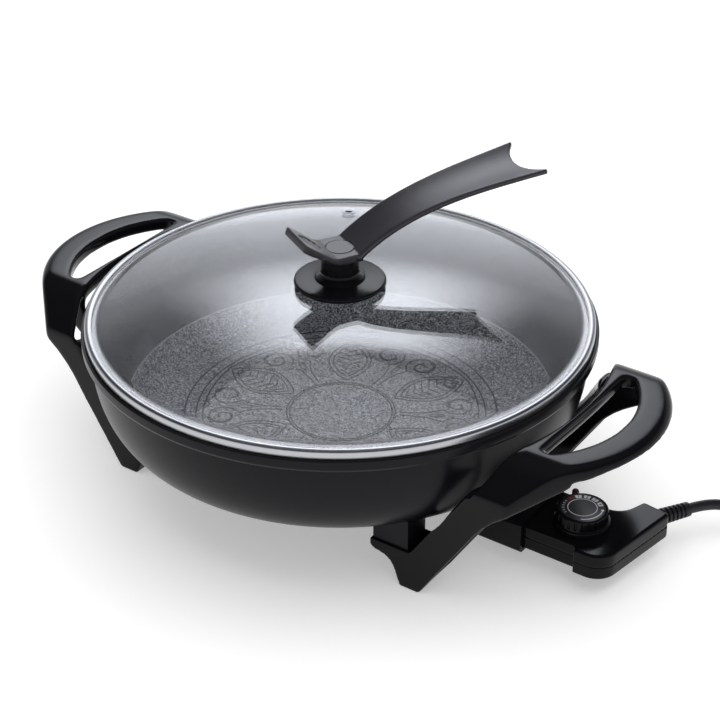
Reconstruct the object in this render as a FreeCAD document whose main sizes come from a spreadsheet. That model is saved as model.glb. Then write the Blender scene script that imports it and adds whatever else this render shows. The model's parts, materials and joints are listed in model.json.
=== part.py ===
import FreeCAD, Part
import math
import os
import re
import Sketcher
from FreeCAD import Placement, Rotation, Vector

# Electric wok with a glass lid and a plug-in temperature control.
# Frame: +Z up, the origin on the table under the bowl's axis, +X towards the control. Millimetres.

SIZES = {
    # bowl: die-cast, its wall a superellipse of revolution
    "bowl_radius": 167.2,
    "bowl_base_z": 38.8,
    "bowl_top_z": 112.0,
    "bowl_knee_power": 7.1,
    "bowl_rise_power": 2.5,
    "bowl_wall": 3.4,
    "bowl_floor": 5.2,
    "rim_overhang": 5.2,
    "rim_stand": 6.5,
    "rim_ledge_drop": 2.0,
    "rim_lip": 2.0,
    "rim_height": 7.5,
    # element: a tube bent to a ring in a groove under the bowl, its ends stepped down to the pins
    "element_tube": 3.5,
    "element_groove_gap": 0.1,
    "element_drop": 5.2,
    "element_rib_half": 8.0,
    "element_bend": 11.0,
    # mains socket under the bowl
    "plug_axis_z": 21.0,
    "pin_spread": 14.0,
    "pin_radius": 2.0,
    "socket_back": 6.0,
    "socket_side": 3.2,
    "socket_wall": 2.3,
    "socket_round": 3.0,
    "socket_gap": 0.6,
    "socket_ear": 9.5,
    "socket_pad_drop": 2.4,
    "well_half": 7.0,
    "well_depth": 5.5,
    # moulded carrying handle with two legs, one each side
    "loop_stand": 1.5,
    "loop_round": 91.8,
    "loop_edge_drop": 5.7,
    "loop_rail_drop": 10.5,
    "loop_edge_round": 6.0,
    "strap_lean": 25.0,
    "strap_drop": 22.5,
    "strap_round": 26.0,
    "moulding_wall": 3.5,
    "grip_round": 76.4,
    "grip_slant": 42.0,
    "grip_corner": 4.4,
    "grip_wall_drop": 9.5,
    "leg_face_y": 90.0,
    "leg_depth": 29.0,
    "leg_web": 6.0,
    "foot_half": 7.5,
    "foot_depth": 14.0,
    "foot_solid_z": 15.0,
    "foot_back_lift": 9.0,
    "ankle_z": 18.0,
    "knee_drop": 40.5,
    "knee_round": 90.0,
    "shelf_drop": 10.5,
    "shelf_edge": 7.0,
    "shelf_round": 12.0,
    "leg_bowl_gap": 8.0,
    "lug_inset": 1.5,
    "lug_length": 26.5,
    "lug_depth": 20.0,
    "leg_screw_inset": 13.0,
    "leg_screw_radius": 2.4,
    "leg_screw_length": 17.0,
    "screw_head_radius": 4.5,
    "screw_head": 3.0,
    "screw_gap": 0.2,
    # lid: a glass dome in a steel band
    "band_inset": 2.4,
    "band_height": 7.8,
    "lid_gap": 0.3,
    "band_sheet": 0.8,
    "band_lip": 5.0,
    "glass_thickness": 4.0,
    "glass_rise": 21.5,
    "glass_rim_flat": 9.0,
    "glass_bore": 4.0,
    "vent_inset": 40.0,
    "vent_turn": 123.0,
    "vent_bore": 2.6,
    "vent_flange": 5.0,
    "vent_sheet": 0.7,
    "vent_gap": 0.1,
    # lid knob base, handle and fasteners
    "gasket_inset": 2.7,
    "gasket_thickness": 0.8,
    "gasket_ease": 0.12,
    "base_radius": 30.7,
    "base_edge": 3.0,
    "base_round": 1.4,
    "stem_radius": 12.4,
    "stem_flare": 16.0,
    "knob_height": 18.9,
    "hub_height": 7.2,
    "hub_plate": 5.4,
    "hub_radius": 13.2,
    "arm_turn": 61.5,
    "arm_fold": 7.7,
    "arm_reach": 141.0,
    "arm_rise": 36.6,
    "arm_shoulder": 24.0,
    "arm_shoulder_rise": 10.8,
    "arm_middle": 66.0,
    "arm_middle_rise": 25.8,
    "arm_half": 15.4,
    "arm_tail_half": 24.0,
    "arm_thickness": 4.8,
    "arm_dish": 3.0,
    "arm_sections": 9,
    "tail_notch": 9.5,
    "wing_reach": 30.5,
    "wing_rise": 14.8,
    "wing_half": 16.4,
    "wing_thickness": 5.5,
    "wing_corner": 9.0,
    "grip_well_radius": 9.5,
    "grip_well_depth": 1.2,
    "grip_ridges": 6,
    "cap_radius": 9.0,
    "cap_height": 1.4,
    "lid_screw_radius": 2.5,
    "lid_screw_up": 22.0,
    "lid_screw_head": 4.0,
    "washer_radius": 11.0,
    "washer_thickness": 1.2,
    # plug-in temperature control
    "box_depth": 9.0,
    "box_height": 9.0,
    "box_wall": 2.2,
    "box_edge_round": 2.0,
    "nose_half": 24.3,
    "box_front_y": 29.0,
    "box_front_round": 15.0,
    "box_end_y": 41.5,
    "box_end_width": 20.5,
    "box_end_slope": 2.6,
    "box_throat_round": 14.0,
    "dial_radius": 18.5,
    "dial_taper": 1.7,
    "dial_height": 11.2,
    "dial_gap": 0.4,
    "dial_flutes": 24,
    "flute_radius": 1.0,
    "scale_margin": 2.0,
    "scale_depth": 0.6,
    "shaft_radius": 3.0,
    "shaft_gap": 0.08,
    "bush_radius": 5.0,
    "thermostat_length": 26.0,
    "thermostat_width": 18.0,
    "thermostat_height": 6.0,
    "rod_radius": 3.15,
    "rod_gap": 0.09,
    "sleeve_wall": 1.2,
    "sleeve_gap": 0.08,
    "sleeve_length": 22.0,
    "lens_y": 20.0,
    "lens_radius": 2.4,
    "lens_stand": 8.0,
    "box_screw_radius": 1.6,
    "box_screw_a_y": -19.0,
    "box_screw_b_y": 13.5,
    "box_screw_c_y": 33.0,
    "box_post_radius": 3.4,
    "box_screw_head_radius": 2.8,
    "box_screw_head": 1.8,
    # strain relief, cord and plug
    "relief_inset": 0.9,
    "relief_turn": 60.0,
    "relief_inside": 5.0,
    "relief_length": 28.0,
    "relief_root": 5.7,
    "relief_end": 4.9,
    "relief_ribs": 6,
    "relief_groove": 1.1,
    "relief_groove_width": 1.6,
    "cord_radius": 3.55,
    "lead_straight": 15.7,
    "tail_straight": 13.0,
    "coil_y": 136.0,
    "coil_inner": 32.0,
    "coil_outer": 46.4,
    "coil_height": 14.4,
    "plug_y": 244.4,
    "plug_turn": 120.0,
    "plug_radius": 18.6,
    "plug_face": 22.0,
    "plug_back": 18.0,
    "plug_neck": 6.0,
    "plug_neck_length": 20.0,
    "mains_pin_radius": 2.4,
    "mains_pin_length": 19.0,
    "mains_pin_tip": 1.2,
    "mains_neck": 0.4,
    "mains_root_radius": 2.0,
    "mains_root": 6.0,
    "mains_pin_spread": 9.5,
    "earth_clip_width": 6.0,
    "earth_clip": 1.0,
    "clip_gap": 0.5,
    "earth_bore": 2.5,
    "earth_bore_depth": 17.0,
    "earth_bore_drop": 10.0,
}

# How far each of these lies beyond the bowl's wall along X (inside it if negative).
OUTBOARD = {
    # element, sensor well and mains socket under the bowl
    "element_ring": -87.2,
    "element_ends_x": -55.2,
    "well_x": -81.2,
    "socket_ear_x": -63.2,
    "socket_back_x": -49.2,
    "socket_front_x": -5.2,
    "pin_tip_x": 0.8,
    # moulded handle and its legs
    "shelf_x": -80.2,
    "shelf_throat_x": -64.2,
    "leg_screw_x": -69.2,
    "foot_x": -49.7,
    "shin_foot_x": -49.7,
    "ankle_x": -30.7,
    "shin_top_x": -7.2,
    "knee_x": 4.8,
    "loop_inner": 16.8,
    "grip_inner_x": 20.3,
    "grip_outer_x": 47.8,
    "loop_reach": 70.8,
    # plug-in control
    "rod_tip_x": -74.7,
    "rod_end_x": -1.2,
    "nose_x": -17.2,
    "lens_x": 7.3,
    "dial_x": 23.5,
    "box_step_x": 32.8,
    "box_throat_x": 38.8,
    "box_front_x": 55.8,
    "box_end_x": 66.0,
    "box_screw_a_x": 8.8,
    "box_screw_b_x": 10.8,
    "box_screw_c_x": 58.8,
    # strain relief, coil and plug
    "relief_x": 53.8,
    "coil_x": 123.8,
    "plug_x": 107.4,
}

# Corners of the lead's runs to the coil and of its tail from the plug: outward from the wall, along Y, up.
ROUTES = {
    "lead": [(90.3, 89.0, 17.8), (107.8, 92.2, 10.6), (124.8, 94.0, 5.2), (141.8, 99.5, 3.6)],
    "tail": [(151.4, 168.1, 12.4), (157.4, 154.0, 8.2)],
}

# Sizes that follow from others by a named clearance.
TIED = {
    "rim_radius": "bowl_radius + rim_overhang",
    "band_radius": "rim_radius - band_inset",
    "rim_top_z": "bowl_top_z + rim_stand",
    "element_z": "bowl_base_z - element_drop",
    "loop_top_z": "bowl_top_z + loop_stand",
    "loop_edge_z": "loop_top_z - loop_edge_drop",
    "strap_crease_z": "loop_top_z - strap_drop",
    "strap_top_half": "leg_face_y - strap_lean",
    "knee_z": "loop_top_z - knee_drop",
    "shelf_top_z": "bowl_base_z - shelf_drop",
    "leg_screw_y": "leg_face_y - leg_screw_inset",
    "band_bottom_z": "rim_top_z - rim_ledge_drop + lid_gap",
    "band_top_z": "band_bottom_z + band_height",
    "vent_at": "band_radius - vent_inset",
    "gasket_radius": "base_radius - gasket_inset",
    "hub_underside_z": "band_top_z - band_sheet + glass_rise + gasket_thickness + knob_height",
    "hub_top_z": "hub_underside_z + hub_height",
    "arm_tail_z": "hub_top_z + arm_rise",
    "arm_shoulder_z": "hub_top_z + arm_shoulder_rise",
    "arm_middle_z": "hub_top_z + arm_middle_rise",
    "wing_tip_z": "hub_top_z + wing_rise",
    "box_bottom_z": "plug_axis_z - box_depth",
    "box_top_z": "plug_axis_z + box_height",
    "socket_half": "nose_half + socket_side",
    "dial_top_radius": "dial_radius - dial_taper",
    "scale_radius": "dial_top_radius - scale_margin",
    "lens_top_z": "box_top_z + lens_stand",
    "relief_y": "box_end_y - relief_inset",
}

doc = FreeCAD.newDocument("ElectricWok")
sheet = doc.addObject("Spreadsheet::Sheet", "Sizes")
cells = {alias: str(number) for alias, number in SIZES.items()}
cells.update({alias: f"=bowl_radius + ({number})" for alias, number in OUTBOARD.items()})
cells.update({alias: f"={text}" for alias, text in TIED.items()})
for row, (alias, content) in enumerate(cells.items(), 1):
    sheet.set(f"A{row}", alias)
    sheet.setAlias(f"B{row}", alias)
    sheet.set(f"B{row}", content)
doc.recompute()

ROUND = Vector(0, 0, 1)
PLANES = {
    "XY": Rotation(),
    "XZ": Rotation(Vector(1, 0, 0), 90),
    "YZ": Rotation(ROUND, 90).multiply(Rotation(Vector(1, 0, 0), 90)),
}
SUB_PARTS = []


# ---- helpers: every text below is an expression over the sheet's aliases ----

def size(text):
    """The number that an expression over the sheet's aliases gives."""
    return float(sheet.evalExpression(str(text)))


def linked(text):
    """The same expression as seen from outside the sheet."""
    return re.sub(r"\b[a-z]+(?:_[a-z]+)+\b", lambda found: "Sizes." + found.group(0), str(text))


def bind(thing, **properties):
    """Tie properties to the sheet; a double underscore stands for a dot."""
    for name, text in properties.items():
        thing.setExpression(name.replace("__", "."), linked(text))
    return thing


def move(thing, x="0", y="0", z="0", turn=None):
    """Tie a placement to the sheet, turned about Z by an expression in degrees."""
    if turn is not None:
        thing.Placement.Rotation = Rotation(ROUND, size(turn))
        bind(thing, Placement__Rotation__Angle=turn)
    bind(thing, Placement__Base__x=x, Placement__Base__y=y, Placement__Base__z=z)
    return thing


def name_part(thing, label):
    """Mark an object as a finished sub-part; its label names its file."""
    thing.Label = label
    SUB_PARTS.append(thing)
    return thing


def outline(name, corners, plane="XY", at="0"):
    """A closed sketch through corners (x, y) or (x, y, rounding), all tied to the sheet."""
    sketch = doc.addObject("Sketcher::SketchObject", name)
    normal = {"XY": "z", "XZ": "y", "YZ": "x"}[plane]
    sketch.Placement = Placement(Vector(), PLANES[plane])
    sketch.setExpression(f"Placement.Base.{normal}", linked(at))
    points = [Vector(size(c[0]), size(c[1]), 0) for c in corners]
    rounds = [size(c[2]) if len(c) > 2 else 0.0 for c in corners]
    count = len(points)
    ends, arcs = [], []
    for i, point in enumerate(points):
        back = (points[i - 1] - point).normalize()
        ahead = (points[(i + 1) % count] - point).normalize()
        if rounds[i] == 0:
            ends.append((point, point))
            arcs.append(None)
            continue
        half = back.getAngle(ahead) / 2
        reach = rounds[i] / math.tan(half)
        centre = point + (back + ahead).normalize() * (rounds[i] / math.sin(half))
        start, end = point + back * reach, point + ahead * reach
        ends.append((start, end))
        left_turn = back.cross(ahead).z < 0
        first, last = (start, end) if left_turn else (end, start)
        spans = [math.atan2(p.y - centre.y, p.x - centre.x) for p in (first, last)]
        circle = Part.Circle(centre, ROUND, rounds[i])
        arcs.append((Part.ArcOfCircle(circle, spans[0], spans[1]), left_turn))
    lines = []
    for i in range(count):
        segment = Part.LineSegment(ends[i][1], ends[(i + 1) % count][0])
        lines.append(sketch.addGeometry(segment, False))
    for i, corner in enumerate(corners):
        before, after = lines[i - 1], lines[i]
        if arcs[i] is None:
            sketch.addConstraint(Sketcher.Constraint("Coincident", before, 2, after, 1))
            pinned, spot = after, 1
        else:
            arc = sketch.addGeometry(arcs[i][0], False)
            start, end = (1, 2) if arcs[i][1] else (2, 1)
            sketch.addConstraint(Sketcher.Constraint("Tangent", before, 2, arc, start))
            sketch.addConstraint(Sketcher.Constraint("Tangent", arc, end, after, 1))
            radius = sketch.addConstraint(Sketcher.Constraint("Radius", arc, rounds[i]))
            sketch.setExpression(f"Constraints[{radius}]", linked(corner[2]))
            pinned, spot = sketch.addGeometry(Part.Point(points[i]), True), 1
            sketch.addConstraint(Sketcher.Constraint("PointOnObject", pinned, 1, before))
            sketch.addConstraint(Sketcher.Constraint("PointOnObject", pinned, 1, after))
        for kind, text in (("DistanceX", corner[0]), ("DistanceY", corner[1])):
            datum = sketch.addConstraint(Sketcher.Constraint(kind, -1, 1, pinned, spot, size(text)))
            sketch.setExpression(f"Constraints[{datum}]", linked(text))
    return sketch


def extrude(name, corners, length, plane="XY", at="0"):
    """A prism on an outline, along the plane's normal."""
    prism = doc.addObject("Part::Extrusion", name)
    prism.Base = outline(name + "Outline", corners, plane, at)
    prism.DirMode = "Custom"
    prism.Dir = {"XY": Vector(0, 0, 1), "XZ": Vector(0, 1, 0), "YZ": Vector(1, 0, 0)}[plane]
    prism.Solid = True
    return bind(prism, LengthFwd=length)


def revolve(name, corners):
    """A solid of revolution about Z from an outline in the XZ plane."""
    turned = doc.addObject("Part::Revolution", name)
    turned.Source = outline(name + "Outline", corners, "XZ")
    turned.Axis = ROUND
    turned.Angle = 360
    turned.Solid = True
    return turned


def block(name, x, y, z, length, width, height):
    """A box from its lowest corner."""
    box = bind(doc.addObject("Part::Box", name), Length=length, Width=width, Height=height)
    return move(box, x, y, z)


def rod(name, radius, height, x="0", y="0", z="0"):
    """An upright cylinder."""
    return move(bind(doc.addObject("Part::Cylinder", name), Radius=radius, Height=height), x, y, z)


def rod_along_x(name, radius, length, x, y, z):
    """A cylinder along +X."""
    cylinder = doc.addObject("Part::Cylinder", name)
    cylinder.Placement = Placement(Vector(), Rotation(Vector(0, 1, 0), 90))
    bind(cylinder, Radius=radius, Height=length)
    return bind(cylinder, Placement__Base__x=x, Placement__Base__y=y, Placement__Base__z=z)


def join(name, *shapes):
    fused = doc.addObject("Part::MultiFuse", name)
    fused.Shapes = list(shapes)
    return fused


def overlap(name, *shapes):
    common = doc.addObject("Part::MultiCommon", name)
    common.Shapes = list(shapes)
    return common


def group(name, *shapes):
    """Separate solids of one kind, kept as one sub-part."""
    compound = doc.addObject("Part::Compound", name)
    compound.Links = list(shapes)
    return compound


def cut(name, base, *tools):
    """The base less its tools."""
    result = doc.addObject("Part::Cut", name)
    result.Base = base
    result.Tool = tools[0] if len(tools) == 1 else join(name + "Tools", *tools)
    return result


def mirrored(name, source):
    """A second copy across the XZ plane."""
    mirror = doc.addObject("Part::Mirroring", name)
    mirror.Source = source
    mirror.Normal = Vector(0, 1, 0)
    return mirror


def shaped(name, shape):
    """A free form whose sizes were read from the sheet."""
    feature = doc.addObject("Part::Feature", name)
    feature.Shape = shape
    return feature


def top_edges(shape, z):
    """Numbers of the edges that lie level at a height."""
    return [n for n, edge in enumerate(shape.Edges, 1)
            if abs(edge.BoundBox.ZMin - z) < 1e-4 and abs(edge.BoundBox.ZMax - z) < 1e-4]


def rounded_prism(name, base, z, radius):
    """Round the edges of a prism at one height."""
    fillet = doc.addObject("Part::Fillet", name)
    fillet.Base = base
    doc.recompute()
    fillet.Edges = [(n, radius, radius) for n in top_edges(base.Shape, z)]
    return fillet


# ---- bowl ----

def bowl_solid(name, radius, base_z, top_z):
    """A solid inside the superellipse wall, from the base up to a flat top."""
    knee, rise = size("bowl_knee_power"), size("bowl_rise_power")
    wide, low, high = size(radius), size(base_z), size(top_z)
    rim = size("bowl_top_z")

    def height(r):
        return rim - (rim - low) * (1 - (r / wide) ** knee) ** (1 / rise)

    steps = 7
    flat = [wide * 0.3, wide * 0.5, wide * 0.66, wide * 0.76]
    knees = [wide * (1 - 0.19 * (1 - k / steps) ** 2.4) for k in range(steps)]
    points = [Vector(0, 0, low)] + [Vector(r, 0, height(r)) for r in flat + knees]
    points.append(Vector(wide, 0, rim))
    wall = Part.BSplineCurve()
    wall.interpolate(points, InitialTangent=Vector(1, 0, 0), FinalTangent=Vector(0, 0, 1))
    top = [Vector(wide, 0, rim), Vector(wide, 0, high), Vector(0, 0, high), Vector(0, 0, low)]
    wire = Part.Wire([wall.toShape()] + [Part.makeLine(a, b) for a, b in zip(top, top[1:])])
    return shaped(name, Part.Face(wire).revolve(Vector(), ROUND, 360))


def make_pan():
    """The cast bowl with a seat for the lid in its rim, and the castings under it."""
    outside = bowl_solid("BowlOutside", "bowl_radius", "bowl_base_z", "rim_top_z - rim_ledge_drop")
    inside = bowl_solid("BowlInside", "bowl_radius - bowl_wall", "bowl_base_z + bowl_floor", "rim_top_z + 1")
    rim = revolve("BowlRim", [
        ("bowl_radius - bowl_wall", "rim_top_z - rim_height"),
        ("rim_radius - 0.8", "rim_top_z - rim_height", "0.6"),
        ("rim_radius", "rim_top_z - rim_height + 1.6", "0.8"),
        ("rim_radius", "rim_top_z", "0.6"),
        ("rim_radius - rim_lip", "rim_top_z", "0.4"),
        ("rim_radius - rim_lip", "rim_top_z - rim_ledge_drop"),
        ("bowl_radius - bowl_wall", "rim_top_z - rim_ledge_drop"),
    ])
    name_part(cut("Bowl", join("BowlBody", outside, rim), inside), "pan")
    make_castings(outside)


def make_castings(outside):
    """What is cast under the bowl: seat of the element, sensor well, four lugs and two pads."""
    rib = revolve("ElementRib", [
        ("element_ring - element_rib_half", "element_z"),
        ("element_ring + element_rib_half", "element_z"),
        ("element_ring + element_rib_half", "bowl_base_z + 3"),
        ("element_ring - element_rib_half", "bowl_base_z + 3"),
    ])
    groove = doc.addObject("Part::Torus", "ElementGroove")
    bind(groove, Radius1="element_ring", Radius2="element_tube + element_groove_gap")
    move(groove, z="element_z")
    notch = block("RibNotch", "element_ring - 25", "-pin_spread - element_tube - 2", "element_z - 5",
                  "40", "2*(pin_spread + element_tube + 2)", "bowl_base_z - element_z + 5")
    seat = cut("ElementSeat", rib, groove, notch, outside)
    well = block("SensorWell", "well_x", "-well_half", "plug_axis_z - well_depth",
                 "element_ends_x - well_x", "2*well_half", "bowl_base_z + 4 - plug_axis_z + well_depth")
    well_bore = rod_along_x("WellBore", "rod_radius + rod_gap", "element_ends_x - rod_tip_x + 2",
                            "rod_tip_x - 0.5", "0", "plug_axis_z")
    lug = block("LegLug", "shelf_x + lug_inset", "-leg_face_y + lug_inset + 0.5", "shelf_top_z",
                "lug_length", "lug_depth", "bowl_base_z + 18 - shelf_top_z")
    lug_bore = rod("LugBore", "leg_screw_radius + screw_gap", "leg_screw_length",
                   "leg_screw_x", "-leg_screw_y", "shelf_top_z - 5")
    pad = block("SocketPad", "socket_ear_x", "socket_half - socket_ear", "bowl_base_z - socket_pad_drop",
                "socket_back_x - socket_ear_x", "socket_ear", "socket_pad_drop + 5")
    pad_bore = rod("PadBore", "leg_screw_radius + screw_gap", "socket_pad_drop + 4",
                   "(socket_ear_x + socket_back_x)/2", "socket_half - socket_ear/2",
                   "bowl_base_z - socket_pad_drop - 1")
    lug_cast = cut("LegLugCast", lug, lug_bore, outside)
    lugs = group("LugPair", lug_cast, mirrored("LegLugMirror", lug_cast))
    far_lugs = group("FarLugs", lugs)
    far_lugs.Placement = Placement(Vector(), Rotation(ROUND, 180))
    pad_cast = cut("SocketPadCast", pad, pad_bore, outside)
    well_cast = cut("SensorWellCast", well, well_bore, outside)
    name_part(group("Castings", seat, well_cast, lugs, far_lugs, pad_cast,
                    mirrored("SocketPadMirror", pad_cast)), "pan_castings")


def make_element():
    """The tube runs round the groove, and both ends turn out and step down to the pins."""
    ring, spread, high = size("element_ring"), size("pin_spread"), size("element_z")
    low, end, bend = size("plug_axis_z"), size("element_ends_x"), size("element_bend")
    tube = size("element_tube")
    corner = math.sqrt(ring ** 2 - spread ** 2)
    turn = math.degrees(math.asin(spread / ring))
    ring_arc = Part.makeCircle(ring, Vector(0, 0, high), ROUND, turn, 360 - turn)
    loop = Part.Wire([ring_arc]).makePipeShell([Part.Wire([Part.makeCircle(
        tube, Vector(corner, spread, high), Vector(-spread, corner, 0))])], True, False)
    legs = []
    for side in (1, -1):
        y = side * spread
        start = corner - 0.5
        step = math.sqrt(max(bend ** 2 - (bend - (high - low) / 2) ** 2, 1.0))
        middle = end - 2 - step
        first = Part.Arc(
            Vector(middle - step, y, high),
            Vector(middle - step + step * 0.53, y, high - bend + math.sqrt(bend ** 2 - (step * 0.53) ** 2)),
            Vector(middle, y, (high + low) / 2))
        second = Part.Arc(
            Vector(middle, y, (high + low) / 2),
            Vector(middle + step * 0.47, y, low + bend - math.sqrt(bend ** 2 - (step * 0.53) ** 2)),
            Vector(middle + step, y, low))
        path = Part.Wire([
            Part.makeLine(Vector(start, y, high), Vector(middle - step, y, high)),
            first.toShape(), second.toShape(),
            Part.makeLine(Vector(middle + step, y, low), Vector(end, y, low))])
        section = Part.Wire([Part.makeCircle(tube, Vector(start, y, high), Vector(1, 0, 0))])
        legs.append(path.makePipeShell([section], True, True))
    knuckles = [Part.makeSphere(tube, Vector(corner, side * spread, high)) for side in (1, -1)]
    return name_part(shaped("Element", loop.fuse(legs + knuckles)), "heating_element")


# ---- mains socket ----

def make_socket():
    """A box open towards +X that shrouds the pins, with two ears screwed under the bowl."""
    rounding = "socket_round"
    shell = [("-socket_half", "box_bottom_z - socket_gap - socket_wall", rounding),
             ("socket_half", "box_bottom_z - socket_gap - socket_wall", rounding),
             ("socket_half", "box_top_z + socket_gap + socket_wall", rounding),
             ("-socket_half", "box_top_z + socket_gap + socket_wall", rounding)]
    room = [("-nose_half - socket_gap", "box_bottom_z - socket_gap"),
            ("nose_half + socket_gap", "box_bottom_z - socket_gap"),
            ("nose_half + socket_gap", "box_top_z + socket_gap"),
            ("-nose_half - socket_gap", "box_top_z + socket_gap")]
    outer = extrude("SocketOuter", shell, "socket_front_x - socket_back_x", "YZ", "socket_back_x")
    inner = extrude("SocketRoom", room, "socket_front_x", "YZ", "socket_back_x + socket_back")
    ear = block("SocketEar", "socket_ear_x", "socket_half - socket_ear", "plug_axis_z",
                "socket_back_x + socket_back - socket_ear_x", "socket_ear",
                "bowl_base_z - socket_pad_drop - plug_axis_z")
    ear_top = block("SocketEarTrim", "socket_back_x", "socket_half - socket_ear - 1",
                    "box_top_z + socket_gap + socket_wall - 0.5", "socket_back + 1", "socket_ear + 2", "30")
    ear_bore = rod("EarBore", "leg_screw_radius + screw_gap", "60",
                   "(socket_ear_x + socket_back_x)/2", "socket_half - socket_ear/2", "plug_axis_z - 1")
    ear_cut = cut("SocketEarCut", ear, ear_top, ear_bore)
    pin_hole = rod_along_x("PinHole", "pin_radius + 0.1", "30", "socket_back_x - 10", "pin_spread",
                           "plug_axis_z")
    rod_hole = rod_along_x("RodHole", "rod_radius + 1", "30", "socket_back_x - 10", "0", "plug_axis_z")
    body = join("SocketBody", outer, ear_cut, mirrored("SocketEarMirror", ear_cut))
    socket = cut("Socket", body, inner, pin_hole, mirrored("PinHoleMirror", pin_hole), rod_hole)
    name_part(socket, "socket_shroud")
    pin = rod_along_x("TerminalPin", "pin_radius", "pin_tip_x - element_ends_x", "element_ends_x",
                      "pin_spread", "plug_axis_z")
    rounded = doc.addObject("Part::Fillet", "TerminalPinRounded")
    rounded.Base = pin
    doc.recompute()
    tip = max(range(len(pin.Shape.Edges)), key=lambda e: pin.Shape.Edges[e].CenterOfMass.x)
    rounded.Edges = [(tip + 1, size("pin_radius") * 0.6, size("pin_radius") * 0.6)]
    name_part(group("TerminalPins", rounded, mirrored("TerminalPinMirror", rounded)), "terminal_pins")
    socket_screw = screw("SocketScrew", "(socket_ear_x + socket_back_x)/2", "socket_half - socket_ear/2",
                         "plug_axis_z", "bowl_base_z - plug_axis_z")
    name_part(group("SocketScrews", socket_screw, mirrored("SocketScrewMirror", socket_screw)),
              "socket_screws")


def screw(name, x, y, head_top_z, length):
    """A pan-head screw driven upwards; its head lies below head_top_z."""
    shank = rod(name + "Shank", "leg_screw_radius", length, x, y, head_top_z)
    head = rod(name + "Head", "screw_head_radius", "screw_head", x, y, f"{head_top_z} - screw_head")
    slot = block(name + "Slot", f"{x} - screw_head_radius - 1", f"{y} - 0.6",
                 f"{head_top_z} - screw_head - 1", "2*screw_head_radius + 2", "1.2", "2")
    return cut(name, join(name + "Body", shank, head), slot)


# ---- handle and legs ----

def arch_outline(inset):
    """The moulding seen along X: legs, sloping straps and the level loop."""
    side = f"leg_face_y - {inset}"
    shoulder = f"strap_top_half - {inset}*0.35"
    top = f"loop_top_z - {inset}"
    crease = f"strap_crease_z - {inset}*0.65"
    turn = f"strap_round - {inset}"
    return [(f"-({side})", "-20"), (side, "-20"), (side, crease), (shoulder, top, turn),
            (f"-({shoulder})", top, turn), (f"-({side})", crease)]


def plan_outline(inset):
    """The moulding seen from above: a round nose between two slanted sides."""
    point = f"loop_reach + (sqrt(2) - 1)*loop_round - {inset}*sqrt(2)"
    reach = "leg_face_y + 5"
    return [("shelf_x - 20", f"-({reach})"), (f"{point} - leg_face_y - 5", f"-({reach})"),
            (point, "0", f"loop_round - {inset}"),
            (f"{point} - leg_face_y - 5", reach), ("shelf_x - 20", reach)]


def side_outline():
    """The moulding seen along Y: shelf, foot, leg and the lower edge of the skirt."""
    return [
        ("shelf_x", "shelf_top_z"),
        ("shelf_x", "shelf_top_z - shelf_edge", "4"),
        ("shelf_throat_x", "shelf_top_z - shelf_edge - 3", "shelf_round"),
        ("foot_x - foot_half", "0", "1"),
        ("foot_x + foot_half", "0", "1"),
        ("ankle_x", "ankle_z", "16"),
        ("knee_x", "knee_z", "knee_round"),
        ("grip_outer_x + 7", "loop_edge_z - 3", "40"),
        ("loop_reach + 5", "loop_edge_z"),
        ("loop_reach + 5", "loop_top_z + 5"),
        ("shin_top_x - 15", "loop_top_z + 5"),
        ("shin_top_x - 15", "strap_crease_z + 2"),
        ("shin_top_x", "strap_crease_z + 2"),
        ("shin_foot_x", "shelf_top_z"),
    ]


def grip_outline(outset):
    """The finger hole: straight towards the bowl, round outside."""
    corner = "(grip_outer_x - grip_round + grip_round/cos(grip_slant))"
    nose = f"{corner} + {outset}/cos(grip_slant)"
    inner = f"grip_inner_x - {outset}"
    half = f"({nose} - ({inner}))/tan(grip_slant)"
    return [(inner, f"-({half})", f"grip_corner + {outset}"), (nose, "0", f"grip_round + {outset}"),
            (inner, half, f"grip_corner + {outset}")]


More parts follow.
